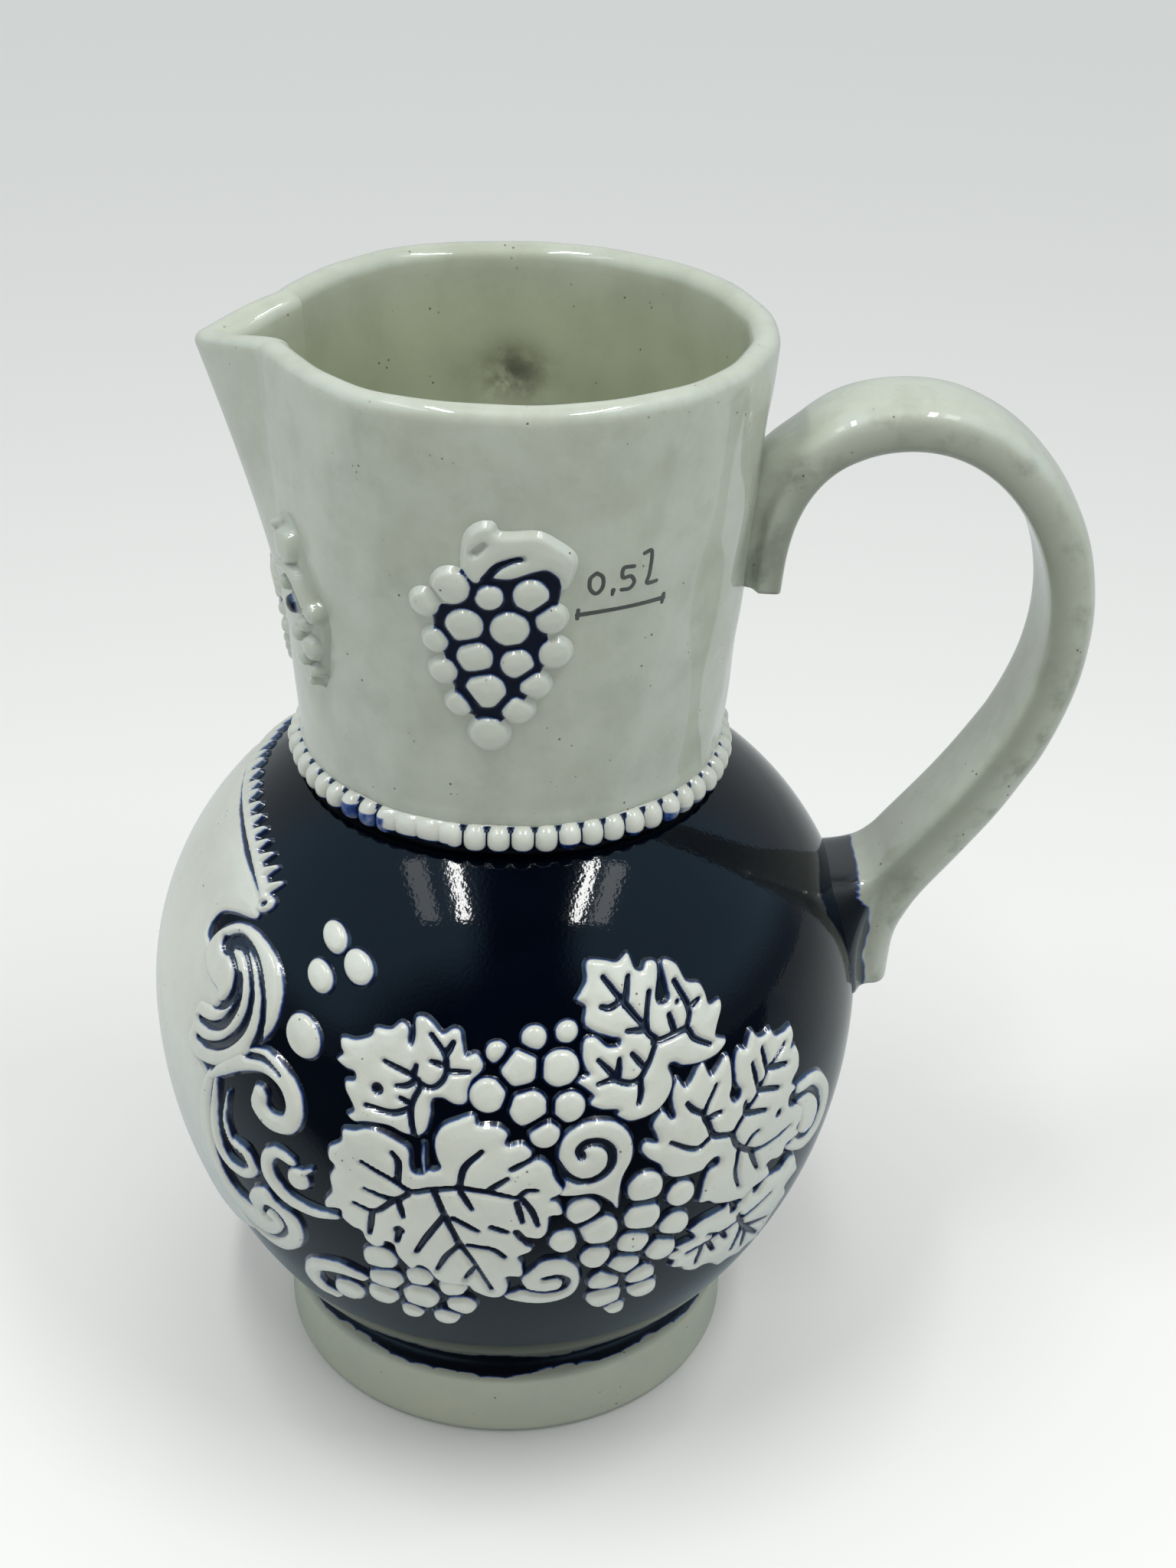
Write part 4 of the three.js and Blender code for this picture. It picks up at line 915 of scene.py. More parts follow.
def add_node(tree, kind, inputs=None, **settings):
    """A node with settings on itself and inputs set or linked."""
    node = tree.nodes.new(kind)
    for name, value in settings.items():
        setattr(node, name, value)
    for name, source in (inputs or {}).items():
        feed(tree, node.inputs[name], source)
    return node


def calculated(tree, operation, *terms):
    """A value worked out from others."""
    node = add_node(tree, "ShaderNodeMath", operation=operation)
    for socket, term in zip(node.inputs, terms):
        feed(tree, socket, term)
    return node.outputs[0]


def value_range(tree, value, low, high):
    """A smooth step of a value between two limits."""
    node = add_node(tree, "ShaderNodeMapRange", {"Value": value, "From Min": low, "From Max": high},
                    interpolation_type="SMOOTHSTEP")
    return node.outputs["Result"]


def mixed(tree, share, first, second):
    """A mix of two colours, each given as a setting or as another node's output."""
    node = add_node(tree, "ShaderNodeMix", data_type="RGBA")
    colours = [socket for socket in node.inputs if socket.type == "RGBA"]
    for socket, source in zip(colours, (first, second)):
        feed(tree, socket, source)
    feed(tree, node.inputs[0], share)
    return [socket for socket in node.outputs if socket.type == "RGBA"][0]


def object_place(tree):
    """Place on the object."""
    return add_node(tree, "ShaderNodeTexCoord").outputs["Object"]


def axes_of(tree, place):
    """The X, Y and Z of a place or direction."""
    node = add_node(tree, "ShaderNodeSeparateXYZ", {"Vector": place})
    return [node.outputs[axis] for axis in "XYZ"]


def noise(tree, place, scale, detail, roughness=0.5):
    """A noise value over a place."""
    return add_node(tree, "ShaderNodeTexNoise", {"Vector": place, "Scale": scale, "Detail": detail,
                                                 "Roughness": roughness}).outputs[0]


def swing(tree, place, amount, scale, detail):
    """A noise value that swings by so much about zero."""
    return calculated(tree, "MULTIPLY_ADD", noise(tree, place, scale, detail), amount, -amount / 2)


def stored(tree, name):
    """A value kept for each point."""
    return add_node(tree, "ShaderNodeAttribute", attribute_name=name).outputs["Fac"]


def patchy(tree, name, scale, low, high):
    """A value kept for each point, broken up by noise."""
    patches = value_range(tree, noise(tree, object_place(tree), scale, *PATCH_DETAIL), low, high)
    return calculated(tree, "MULTIPLY", stored(tree, name), patches)


def new_group(name, inputs, outputs):
    """A node group with sockets given as name and kind, and its in and out nodes."""
    group = bpy.data.node_groups.new(name, "ShaderNodeTree")
    for way, sockets in (("INPUT", inputs), ("OUTPUT", outputs)):
        for socket, kind in sockets.items():
            group.interface.new_socket(name=socket, in_out=way, socket_type="NodeSocket" + kind)
    return group, group.nodes.new("NodeGroupInput"), group.nodes.new("NodeGroupOutput")


def use_group(tree, name, **inputs):
    """A group node with its inputs set or linked."""
    return add_node(tree, "ShaderNodeGroup", inputs, node_tree=GROUPS[name])


def bumped(tree, strength, depth, height, **more):
    """Normal of a surface roughened by a height."""
    inputs = {"Strength": strength, "Distance": depth, "Height": height, **more}
    return add_node(tree, "ShaderNodeBump", inputs).outputs["Normal"]


# Groups of nodes that several materials share: noises as scale, detail and roughness, and ranges

GROUPS = {}
CLOUD_NOISE = (75, 7, 0.7)
CLOUD_RANGE = (0.36, 0.7)
SPECK_CELLS = 700
SPECK_RANGE = (0.16, 0.06)
SPECK_PLACE_NOISE = (210, 1)
SPECK_PLACE_RANGE = (0.57, 0.68)
GRAIN_NOISE = (1500, 2)
GRAIN_DEPTH = 0.00008
WAVE_NOISE = (90, 2)
WAVE_DEPTH = 0.0004
SKIN_NOISE = (1900, 1)
SKIN_DEPTH = 0.0001
# How the edge of the glaze wanders, finely and in pools, as amount, scale and detail
FINE_SWING = (0.3, 650, 2)
POOL_SWING = (0.9, 85, 2)
BLUE_RANGE = (0.3, 0.5)
PALE_RANGE = (0.43, 0.68)


def clay_group():
    """Cloudiness, iron specks and grain of fired clay."""
    group, _, out = new_group("Fired clay", {}, {"Clouds": "Float", "Specks": "Float", "Grain": "Float"})
    place = object_place(group)
    dots = add_node(group, "ShaderNodeTexVoronoi", {"Vector": place, "Scale": SPECK_CELLS})
    near = value_range(group, dots.outputs["Distance"], *SPECK_RANGE)
    few = value_range(group, noise(group, place, *SPECK_PLACE_NOISE), *SPECK_PLACE_RANGE)
    feed(group, out.inputs["Clouds"], value_range(group, noise(group, place, *CLOUD_NOISE), *CLOUD_RANGE))
    feed(group, out.inputs["Specks"], calculated(group, "MULTIPLY", near, few))
    feed(group, out.inputs["Grain"], noise(group, place, *GRAIN_NOISE))
    return group


def ripple_group():
    """Normal of a glaze that has run a little uneven and has a fine orange-peel skin."""
    group, enter, out = new_group("Glaze ripple", {"Strength": "Float"}, {"Normal": "Vector"})
    place = object_place(group)
    strength = enter.outputs["Strength"]
    wave = bumped(group, strength, WAVE_DEPTH, noise(group, place, *WAVE_NOISE))
    skin = bumped(group, strength, SKIN_DEPTH, noise(group, place, *SKIN_NOISE), Normal=wave)
    feed(group, out.inputs["Normal"], skin)
    return group


def cobalt_group():
    """Colour from deep glaze through thin blue to pale slip, by a mask."""
    inputs = {"Mask": "Float", "Glaze": "Color", "Cobalt": "Color", "Slip": "Color"}
    group, enter, out = new_group("Cobalt edge", inputs, {"Color": "Color"})
    place = object_place(group)
    wash = calculated(group, "ADD", swing(group, place, *FINE_SWING), swing(group, place, *POOL_SWING))
    mask = calculated(group, "ADD", enter.outputs["Mask"], wash)
    thin = value_range(group, mask, *BLUE_RANGE)
    blue = mixed(group, thin, enter.outputs["Glaze"], enter.outputs["Cobalt"])
    pale = mixed(group, value_range(group, mask, *PALE_RANGE), blue, enter.outputs["Slip"])
    feed(group, out.inputs["Color"], pale)
    return group


# Materials

SMUDGE_PATCHES = (170, 0.46, 0.7)
# Patches of the painted shade in the dent inside the neck
DENT_SHADE_PATCHES = (260, 0.3, 0.6)
# Floor, in metres back from the jug: where it turns to its far colour, and how the glaze mirrors it
FLOOR_FAR = (0.05, 0.9)
FLOOR_BEHIND = (-0.03, 0.08)
FLOOR_FRONT = (-0.062, -0.105)
FLOOR_MIRRORED = ((0.4, 0.48, 0.53, 1), (0.62, 0.65, 0.65, 1))
FLOOR_MIRRORED_FRONT = (0.03, 0.032, 0.035, 1)


def cloudy(tree, pale, dark):
    """The clay group, and a cloudy colour between two others."""
    body = use_group(tree, "clay")
    return body, mixed(tree, body.outputs["Clouds"], pale, dark)


def toned(shade, share):
    """A colour made darker or paler."""
    return [share * part for part in shade]


def glazed(tree, colours, mask, deep, pale):
    """Colour from deep glaze through thin blue to a pale colour, by a mask."""
    return use_group(tree, "edge", Mask=mask, Glaze=deep, Cobalt=colours.cobalt, Slip=pale).outputs["Color"]


def run_over(tree, colours, pale):
    """Colour of clay that glaze has run over where its points say so."""
    return glazed(tree, colours, calculated(tree, "SUBTRACT", 1, stored(tree, "glaze")), colours.glaze, pale)


def grained(tree, body, strength):
    """Normal of finely grained clay."""
    return bumped(tree, strength, GRAIN_DEPTH, body.outputs["Grain"])


def rippled(tree, strength):
    """Normal of rippled glaze."""
    return use_group(tree, "ripple", Strength=strength).outputs["Normal"]


def put_out(tree, inputs):
    """A surface with these inputs, put out as the material."""
    shader = add_node(tree, "ShaderNodeBsdfPrincipled", inputs)
    add_node(tree, "ShaderNodeOutputMaterial", {"Surface": shader.outputs["BSDF"]})


def ceramic(tree, base, normal, roughness, coat, coat_roughness, specular=0.5):
    """A glossy ceramic surface."""
    put_out(tree, {"Base Color": base, "Normal": normal, "Roughness": roughness, "Coat Weight": coat,
                   "Coat Roughness": coat_roughness, "Specular IOR Level": specular})


def stoneware_look(tree, colours):
    """Salt-glazed clay with its inside tone, smudges and specks, and painted shade on the handle's flanks, in
    the tufts' hollows, in the dent inside the neck and deeper down the neck's bore.
    """
    body, base = cloudy(tree, colours.stoneware, colours.stoneware_dark)
    # Painted shade among these layers: on the handle's flanks, in the tufts' hollows, in the dent inside the
    # neck and deeper down the neck's bore
    layers = (
        (stored(tree, "inside"), colours.inside), (stored(tree, "smoke"), colours.smoked),
        (patchy(tree, "smudge", *SMUDGE_PATCHES), colours.smoked),
        (patchy(tree, "stain", *DENT_SHADE_PATCHES), colours.stain), (body.outputs["Specks"], colours.speck))
    for share, tone in layers:
        base = mixed(tree, share, base, tone)
    ceramic(tree, run_over(tree, colours, base), grained(tree, body, 0.2), roughness=0.5, coat=1,
            coat_roughness=0.035)


def foot_look(tree, colours):
    """Dry clay with the lower edge of the glaze on it."""
    body, base = cloudy(tree, colours.bare_foot, colours.stoneware_dark)
    base = mixed(tree, body.outputs["Specks"], base, colours.speck)
    ceramic(tree, run_over(tree, colours, base), grained(tree, body, 0.6), roughness=0.42, coat=0.15,
            coat_roughness=0.2)


def glaze_look(tree, colours):
    """Deep near-black glaze."""
    _, base = cloudy(tree, colours.glaze, toned(colours.glaze, 0.6))
    ceramic(tree, base, rippled(tree, 0.12), roughness=0.06, coat=0, coat_roughness=0.05, specular=0.28)


def slip_look(tree, colours):
    """Off-white slip that shows blue at its edges."""
    body, base = cloudy(tree, colours.slip, toned(colours.slip, 0.9))
    base = mixed(tree, stored(tree, "bare"), base, colours.stoneware)
    base = mixed(tree, body.outputs["Specks"], base, colours.speck)
    base = glazed(tree, colours, stored(tree, "relief"), colours.thin_glaze, base)
    ceramic(tree, base, rippled(tree, 0.3), roughness=0.3, coat=0.8, coat_roughness=0.04)


def mark_look(tree, colours):
    """Dark grey strokes of the capacity mark."""
    body, base = cloudy(tree, colours.mark, toned(colours.mark, 1.3))
    ceramic(tree, base, grained(tree, body, 0.3), roughness=0.45, coat=0.3, coat_roughness=0.1)


def floor_look(tree, colours):
    """Paper under the jug, which the glaze mirrors darker than it is."""
    _, back, _ = axes_of(tree, object_place(tree))
    glossy = add_node(tree, "ShaderNodeLightPath").outputs["Is Glossy Ray"]
    base = mixed(tree, value_range(tree, back, *FLOOR_FAR), colours.floor, colours.floor_far)
    base = mixed(tree, glossy, base, mixed(tree, value_range(tree, back, *FLOOR_BEHIND), *FLOOR_MIRRORED))
    front = calculated(tree, "MULTIPLY", value_range(tree, back, *FLOOR_FRONT), glossy)
    put_out(tree, {"Base Color": mixed(tree, front, base, FLOOR_MIRRORED_FRONT), "Roughness": 0.7})


LOOKS = {
    "stoneware": ("Salt-glazed stoneware", stoneware_look),
    "bare_foot": ("Dry clay foot", foot_look),
    "cobalt_glaze": ("Cobalt glaze", glaze_look),
    "relief_slip": ("Slip relief", slip_look),
    "mark": ("Capacity mark", mark_look),
    "floor": ("Paper floor", floor_look),
}
MATERIALS = {}


def make_materials(colours):
    """Makes the shared groups and all materials."""
    GROUPS.update(clay=clay_group(), ripple=ripple_group(), edge=cobalt_group())
    for name, (title, look) in LOOKS.items():
        MATERIALS[name] = bpy.data.materials.new(title)
        look(new_nodes(MATERIALS[name]), colours)


def material(context, name):
    """A material by its name, made with the others at first use."""
    if not MATERIALS:
        make_materials(context.scene.jug_colours)
    return MATERIALS[name]


# Foot: points of its upper edge as distance in from the side and height, and where its glaze ends
FOOT_SCALLOPS = 58
SCALLOP_COLUMNS = 10
FOOT_FLAT = 15
FOOT_SIDE_TOP = FOOT_HEIGHT - 1.6
FOOT_ROLL = (
    (0.05, 9.4), (0.1, 9.8), (0.2, 10.2), (0.4, 10.6), (0.8, 10.9), (1.3, 11.15), (2, 11.4), (2.6, 11.8),
    (3, 12.4))
FOOT_SEAT = ((30, 13), (0, 13))
FOOT_HUB = 20
FOOT_LIP_HEIGHT = 10.4
FOOT_LIP_WIDTH = 0.5
FOOT_LIP_RISE = 0.15
SCALLOP_RISE = 0.06
SCALLOP_DROP = 0.1
SCALLOP_POWER = 0.6
FOOT_GLAZE_HEIGHT = 10.95
FOOT_GLAZE_FADE = 0.35
# How the edge of that glaze wanders: waves as amount, number round the foot and start
FOOT_GLAZE_WAVES = ((0.12, 5, 1), (0.1, 13, 0))


class JugAddFoot(bpy.types.Operator):
    """Adds the turned foot with its scalloped glaze edge"""

    bl_idname = "jug.add_foot"
    bl_label = "Add foot"

    def execute(self, context):
        edge = context.scene.jug_sizes.foot_edge / MM
        rounding = [(FOOT_RADIUS - edge + edge * math.sin(turn), edge - edge * math.cos(turn))
                    for turn in np.linspace(0, math.pi / 2, 7)]
        side = [(FOOT_RADIUS, height) for height in np.linspace(edge, FOOT_SIDE_TOP, 14)[1:]]
        roll = [(FOOT_RADIUS - inward, height) for inward, height in FOOT_ROLL]
        profile = np.array([(0, 0), (FOOT_FLAT, 0), *rounding, *side, *roll, *FOOT_SEAT])
        piece, round_share, radius, height = add_wound("foot_piece", FOOT_SCALLOPS * SCALLOP_COLUMNS, profile)
        angle = round_share * math.tau
        outer = radius > FOOT_HUB
        scallop = np.abs(np.cos(angle * FOOT_SCALLOPS / 2)) ** SCALLOP_POWER
        lip = bump(height, FOOT_LIP_HEIGHT, FOOT_LIP_WIDTH) * outer
        wander = sum(amount * np.sin(angle * turns + start) for amount, turns, start in FOOT_GLAZE_WAVES)
        above = height - FOOT_GLAZE_HEIGHT - SCALLOP_DROP * scallop - wander
        place_round(piece, radius + (FOOT_LIP_RISE + SCALLOP_RISE * scallop) * lip, angle, height)
        store(piece, glaze=soft(above / FOOT_GLAZE_FADE + 0.5) * outer)
        close_up(piece)
        finish(context, piece, "bare_foot", "foot")
        return {"FINISHED"}


# Belly: points of its section outside and inside, how much of the arcs the inside takes, and steps round it
BELLY_ROWS = 72
BELLY_INNER_ROWS = 48
BELLY_INNER_HIGH = 0.94
BELLY_INNER_LOW = 0.9
BELLY_STEPS = 180


class JugAddBelly(bpy.types.Operator):
    """Adds the turned hollow belly"""

    bl_idname = "jug.add_belly"
    bl_label = "Add belly"

    def execute(self, context):
        wall = context.scene.jug_sizes.body_wall / MM
        low = LOWER_ARC * math.asin((BELLY_FLOOR - BELLY_HEIGHT) / LOWER_ARC)
        high = SHOULDER_ARC * math.asin((NECK_SEAT_HEIGHT - BELLY_HEIGHT) / SHOULDER_ARC)
        inner_runs = np.linspace(high * BELLY_INNER_HIGH, low * BELLY_INNER_LOW, BELLY_INNER_ROWS)
        outside = [belly_at(run, 0) for run in np.linspace(low, high, BELLY_ROWS)]
        inside = [belly_at(run, -wall) for run in inner_runs]
        profile = np.array([(0, BELLY_FLOOR), *outside, *inside, (0, inside[-1][1])])
        bpy.ops.object.select_all(action="DESELECT")
        bpy.ops.mesh.primitive_circle_add(vertices=len(profile), radius=1, fill_type="NOTHING")
        piece = context.active_object
        piece.name = "belly_piece"
        place_points(piece, profile[:, 0], np.zeros(len(profile)), profile[:, 1])
        select_only(piece)
        bpy.ops.object.mode_set(mode="EDIT")
        bpy.ops.mesh.select_all(action="SELECT")
        bpy.ops.mesh.spin(steps=BELLY_STEPS, angle=math.tau, center=(0, 0, 0), axis=(0, 0, 1),
                          use_auto_merge=True)
        bpy.ops.object.mode_set(mode="OBJECT")
        close_up(piece)
        finish(context, piece, "cobalt_glaze", "belly_shell")
        return {"FINISHED"}


# Neck: points of its section, columns, a ridge above the collar and a dent inside, in degrees and millimetres
NECK_ROWS = 64
NECK_LIP_ROWS = 13
NECK_INNER_ROWS = 48
NECK_COLUMNS = 300
NECK_CROWDING = 0.55
NECK_ROOT = 0.6
NECK_GLAZE_HEIGHT = COLLAR_LOW + 1.4
NECK_GLAZE_FADE = 0.4
# How much of the inside colour shows: the clay's own inner tone, least at the lip and full further down,
# deepened there as painted shade
NECK_INSIDE_LEAST = 0.35
NECK_INSIDE_START = 1.5
NECK_INSIDE_FADE = 10
NECK_SMUDGE = 0.16
RIDGE_HEIGHT = COLLAR_HIGH + 1.1
RIDGE_WIDTH = 0.5
RIDGE_RISE = 0.3
DENT_DIRECTION = 90
DENT_HEIGHT = 142.5
DENT_HALF_ANGLE = 9
DENT_HALF_HEIGHT = 3.6
DENT_DEPTH = 0.9


class JugAddNeck(bpy.types.Operator):
    """Adds the flaring neck with its pinched spout and rounded lip"""

    bl_idname = "jug.add_neck"
    bl_label = "Add neck"

    def execute(self, context):
        wall = context.scene.jug_sizes.neck_wall / MM
        lip = wall / 2
        top = RIM_HEIGHT - lip
        base = NECK_SEAT_HEIGHT - NECK_ROOT
        outside = [(0, height) for height in np.linspace(base, top, NECK_ROWS)]
        rounding = [(lip - lip * math.cos(turn), top + lip * math.sin(turn))
                    for turn in np.linspace(0, math.pi, NECK_LIP_ROWS)[1:-1]]
        inside = [(wall, height) for height in np.linspace(top, base, NECK_INNER_ROWS)]
        section = np.array([*outside, *rounding, *inside, outside[0]])
        piece, round_share, depth, height = add_wound("neck_piece", NECK_COLUMNS, section)
        even = (round_share - 0.5) * 2
        angle = math.pi + math.pi * ((1 - NECK_CROWDING) * even + NECK_CROWDING * even ** 3)
        inward = depth / wall
        dip = bump(degrees_from(FRONT, angle), 0, SPOUT_LIP_DIP_ANGLE)
        height = height - SPOUT_LIP_DIP * spout_flare(height) * dip
        outer = neck_radius(angle, height)
        bore = neck_bore(angle, height, wall)
        ridge = RIDGE_RISE * bump(height, RIDGE_HEIGHT, RIDGE_WIDTH) * (inward < 0.1)
        dent = bump(degrees_from(DENT_DIRECTION, angle), 0, DENT_HALF_ANGLE) * (inward > 0.9)
        dent = dent * bump(height, DENT_HEIGHT, DENT_HALF_HEIGHT)
        place_round(piece, outer + (bore - outer) * inward + ridge + DENT_DEPTH * dent, angle, height)
        # Painted shade: the inside colour deepens further down the bore
        deep = soft((RIM_HEIGHT - NECK_INSIDE_START - height) / NECK_INSIDE_FADE)
        inside = soft((inward - 0.5) / 0.5) * (NECK_INSIDE_LEAST + (1 - NECK_INSIDE_LEAST) * deep)
        glaze = soft((NECK_GLAZE_HEIGHT - height) / NECK_GLAZE_FADE) * (inward < 0.5)
        # Painted shade in the dent inside the neck
        store(piece, inside=inside, glaze=glaze, smudge=NECK_SMUDGE, stain=dent)
        close_up(piece)
        finish(context, piece, "stoneware", "neck_with_spout")
        return {"FINISHED"}


# Collar: rows of its whole section and of its face, and in degrees where it is smeared and dipped in glaze
COLLAR_ROWS = 26
COLLAR_FACE_ROWS = 22
BEAD_COLUMNS = 14
COLLAR_BOTTOM = COLLAR_LOW + 0.1
COLLAR_TOP = COLLAR_HIGH + 0.3
COLLAR_ROOT = NECK_BASE_RADIUS - 0.2
COLLAR_BACK = COLLAR_ROOT - 0.8
# The band under the beads, the shape of a bead, and how beads differ in rise and height
BAND_EDGE = 0.35
BAND_RISE = 0.45
BAND_SMEAR_RISE = 0.8
BEAD_SEAT = 0.5
BEAD_ROUND_POWER = 2.2
BEAD_UP_POWER = 2.4
BEAD_UP_SHARE = 0.95
BEAD_SMEAR_LOSS = 0.75
ODD_STEP = 12.9898
ODD_SCALE = 43758.5453
ODD_RISE = 0.4
ODD_HEIGHT = 0.25
SMEAR_START = 235
SMEAR_END = 258
SMEAR_FADE = 4
FULL_DIP = (230, 8)
LIGHT_DIP = (306, 22)
LIGHT_DIP_SHARE = 0.7


class JugAddCollar(bpy.types.Operator):
    """Adds the ring of beads between belly and neck"""

    bl_idname = "jug.add_collar"
    bl_label = "Add bead collar"

    def execute(self, context):
        sizes = context.scene.jug_sizes
        beads = sizes.bead_count
        piece, round_share, along = add_sheet("collar_piece", beads * BEAD_COLUMNS, COLLAR_ROWS)
        angle = round_share * math.tau
        degrees = np.degrees(angle)
        row = along * COLLAR_ROWS
        section = np.clip(row / COLLAR_FACE_ROWS, 0, 1)
        up = 2 * section - 1
        count = np.floor(round_share * beads - 1e-9)
        across = 2 * (round_share * beads - count) - 1
        odd = np.sin(count * ODD_STEP) * ODD_SCALE % 1
        smear = soft((degrees - SMEAR_START) / SMEAR_FADE) * soft((SMEAR_END - degrees) / SMEAR_FADE)
        fall = np.abs(across) ** BEAD_ROUND_POWER + BEAD_UP_SHARE * np.abs(up) ** BEAD_UP_POWER
        dome = np.sqrt(np.clip(1 - fall, 0, 1)) * (1 - BEAD_SMEAR_LOSS * smear)
        ring = np.sqrt(np.clip(1 - up ** 2, 0, 1))
        bead_rise = sizes.bead_rise / MM - BEAD_SEAT + ODD_RISE * (odd - 0.5)
        band_rise = BAND_RISE + BAND_SMEAR_RISE * smear
        radius = COLLAR_ROOT + BAND_EDGE + band_rise * ring + bead_rise * dome
        height = COLLAR_BOTTOM + (COLLAR_TOP - COLLAR_BOTTOM) * section
        height = height + ODD_HEIGHT * (odd - 0.5) * ring
        back = row > COLLAR_FACE_ROWS + 0.5
        down = np.clip((row - COLLAR_FACE_ROWS) / (COLLAR_ROWS - COLLAR_FACE_ROWS), 0, 1)
        radius = np.where(back, COLLAR_BACK, radius)
        height = np.where(back, COLLAR_TOP + (COLLAR_BOTTOM - COLLAR_TOP) * down, height)
        place_round(piece, radius, angle, height)
        store(piece, relief=self.tint(360 * (count + 0.5) / beads, odd, up, dome, smear))
        close_up(piece)
        finish(context, piece, "relief_slip", "bead_collar")
        return {"FINISHED"}

    def tint(self, middle, odd, up, dome, smear):
        """How pale the beads are, by the direction of their middles and the place on them."""
        full, light = (np.abs(middle - place) < reach for place, reach in (FULL_DIP, LIGHT_DIP))
        dipped = full + LIGHT_DIP_SHARE * odd * light
        shade = 0.25 * odd + 0.85 * dipped - 0.72
        bead = np.maximum(soft((up - shade + 0.3) / 0.7), 0.4 * (dipped > 0)) * soft((dome - 0.08) / 0.3)
        smeared = 0.9 * smear * soft((up + 0.7) / 0.5)
        return np.maximum(np.maximum(bead, smeared), soft((up - 0.75) / 0.2))


# Handle: points along and round it, its thickness by shares, and how often it is smoothed from where on
HANDLE_STATIONS = 260
HANDLE_COLUMNS = 112
HANDLE_STOPS = (0, 0.07, 0.18, 0.6, 0.8, 0.9, 1)
HANDLE_THICKNESSES = (0.56, 0.64, 0.86, 0.86, 1.04, 1.1, 0.95)
HANDLE_SMOOTHING = ((40, 0), (260, 0.68))
HANDLE_CROWN_REACH = 52
CURVE_STEPS = 60
# Fillets between the handle and the belly, and the glaze that has run over its root
SIDE_FILLET = 5
TOP_FILLET = 10
THROAT_FILLET = 6.5
DRIP_REACH = 49.4
DRIP_START = 79
DRIP_TOP = 95
DRIP_FALL = 2.2
DRIP_FADE = 1.6
# Web at the tail on the neck, as shares of the handle's length, and the crown across the strap
WEB_END = 0.15
WEB_FADE = 0.06
WEB_RISE = 1.1
WEB_NARROWING = 0.2
TAIL_END = 0.12
TAIL_WIDENING = 0.06
STRAP_CROWN = 0.6
# Unevenness along the strap: waves as amount, number along it and change across it
STRAP_WAVES = ((0.03, 47, 2), (0.02, 83, -3))


def handle_curves(half):
    """Curves along the middle of the strap, from the tail on the neck to the tail on the belly."""
    upper = np.array((neck_cone(RIM_HEIGHT - 35) + 2.6, RIM_HEIGHT - 35))
    crown = np.array((HANDLE_CROWN_REACH, RIM_HEIGHT - 8.5 - half))
    outmost = np.array((HANDLE_REACH - half, RIM_HEIGHT - 40.5))
    bend = np.array((BELLY_RADIUS + 1.4, BELLY_HEIGHT + 16.2))
    lower = np.array((BELLY_RADIUS + 0.6, BELLY_HEIGHT + 2.6))
    run, rise = crown - upper
    reach, drop = np.abs(outmost - crown)
    fall = outmost[1] - bend[1]
    tail = bend[1] - lower[1]
    return (
        (upper, upper + (0, 0.58 * rise), crown - (0.74 * run, 0), crown),
        (crown, crown + (0.56 * reach, 0), outmost + (0, 0.53 * drop), outmost),
        (outmost, outmost - (0, 0.41 * fall), bend + 0.21 * fall, bend),
        (bend, bend - 0.17 * tail, lower + (0, 0.45 * tail), lower))


def handle_line(thickness, count):
    """Points and directions along the middle of the strap."""
    curves = handle_curves(thickness / 2)
    points = [a * (1 - t) ** 3 + 3 * b * t * (1 - t) ** 2 + 3 * c * t * t * (1 - t) + d * t ** 3
              for a, b, c, d in curves for t in np.linspace(0, 1, CURVE_STEPS, endpoint=False)]
    points = np.array([*points, curves[-1][-1]])
    lengths, _ = run_along(points)
    even = np.linspace(0, lengths[-1], count)
    line = np.stack([np.interp(even, lengths, axis) for axis in points.T], axis=1)
    for turns, start in HANDLE_SMOOTHING:
        stretch = line[int(start * count):]
        for _ in range(turns):
            stretch[1:-1] = (stretch[:-2] + 2 * stretch[1:-1] + stretch[2:]) / 4
    return line, run_along(line)[1]


def strap_section(turn):
    """Place across the strap and through it, each from -1 to 1, by the turn round its section."""
    across = np.cos(turn)
    out = np.sin(turn)
    power = np.where(out > 0, 4, 6)
    square = (np.abs(across) ** power + np.abs(out) ** power) ** (1 / power)
    return across / square, out / square


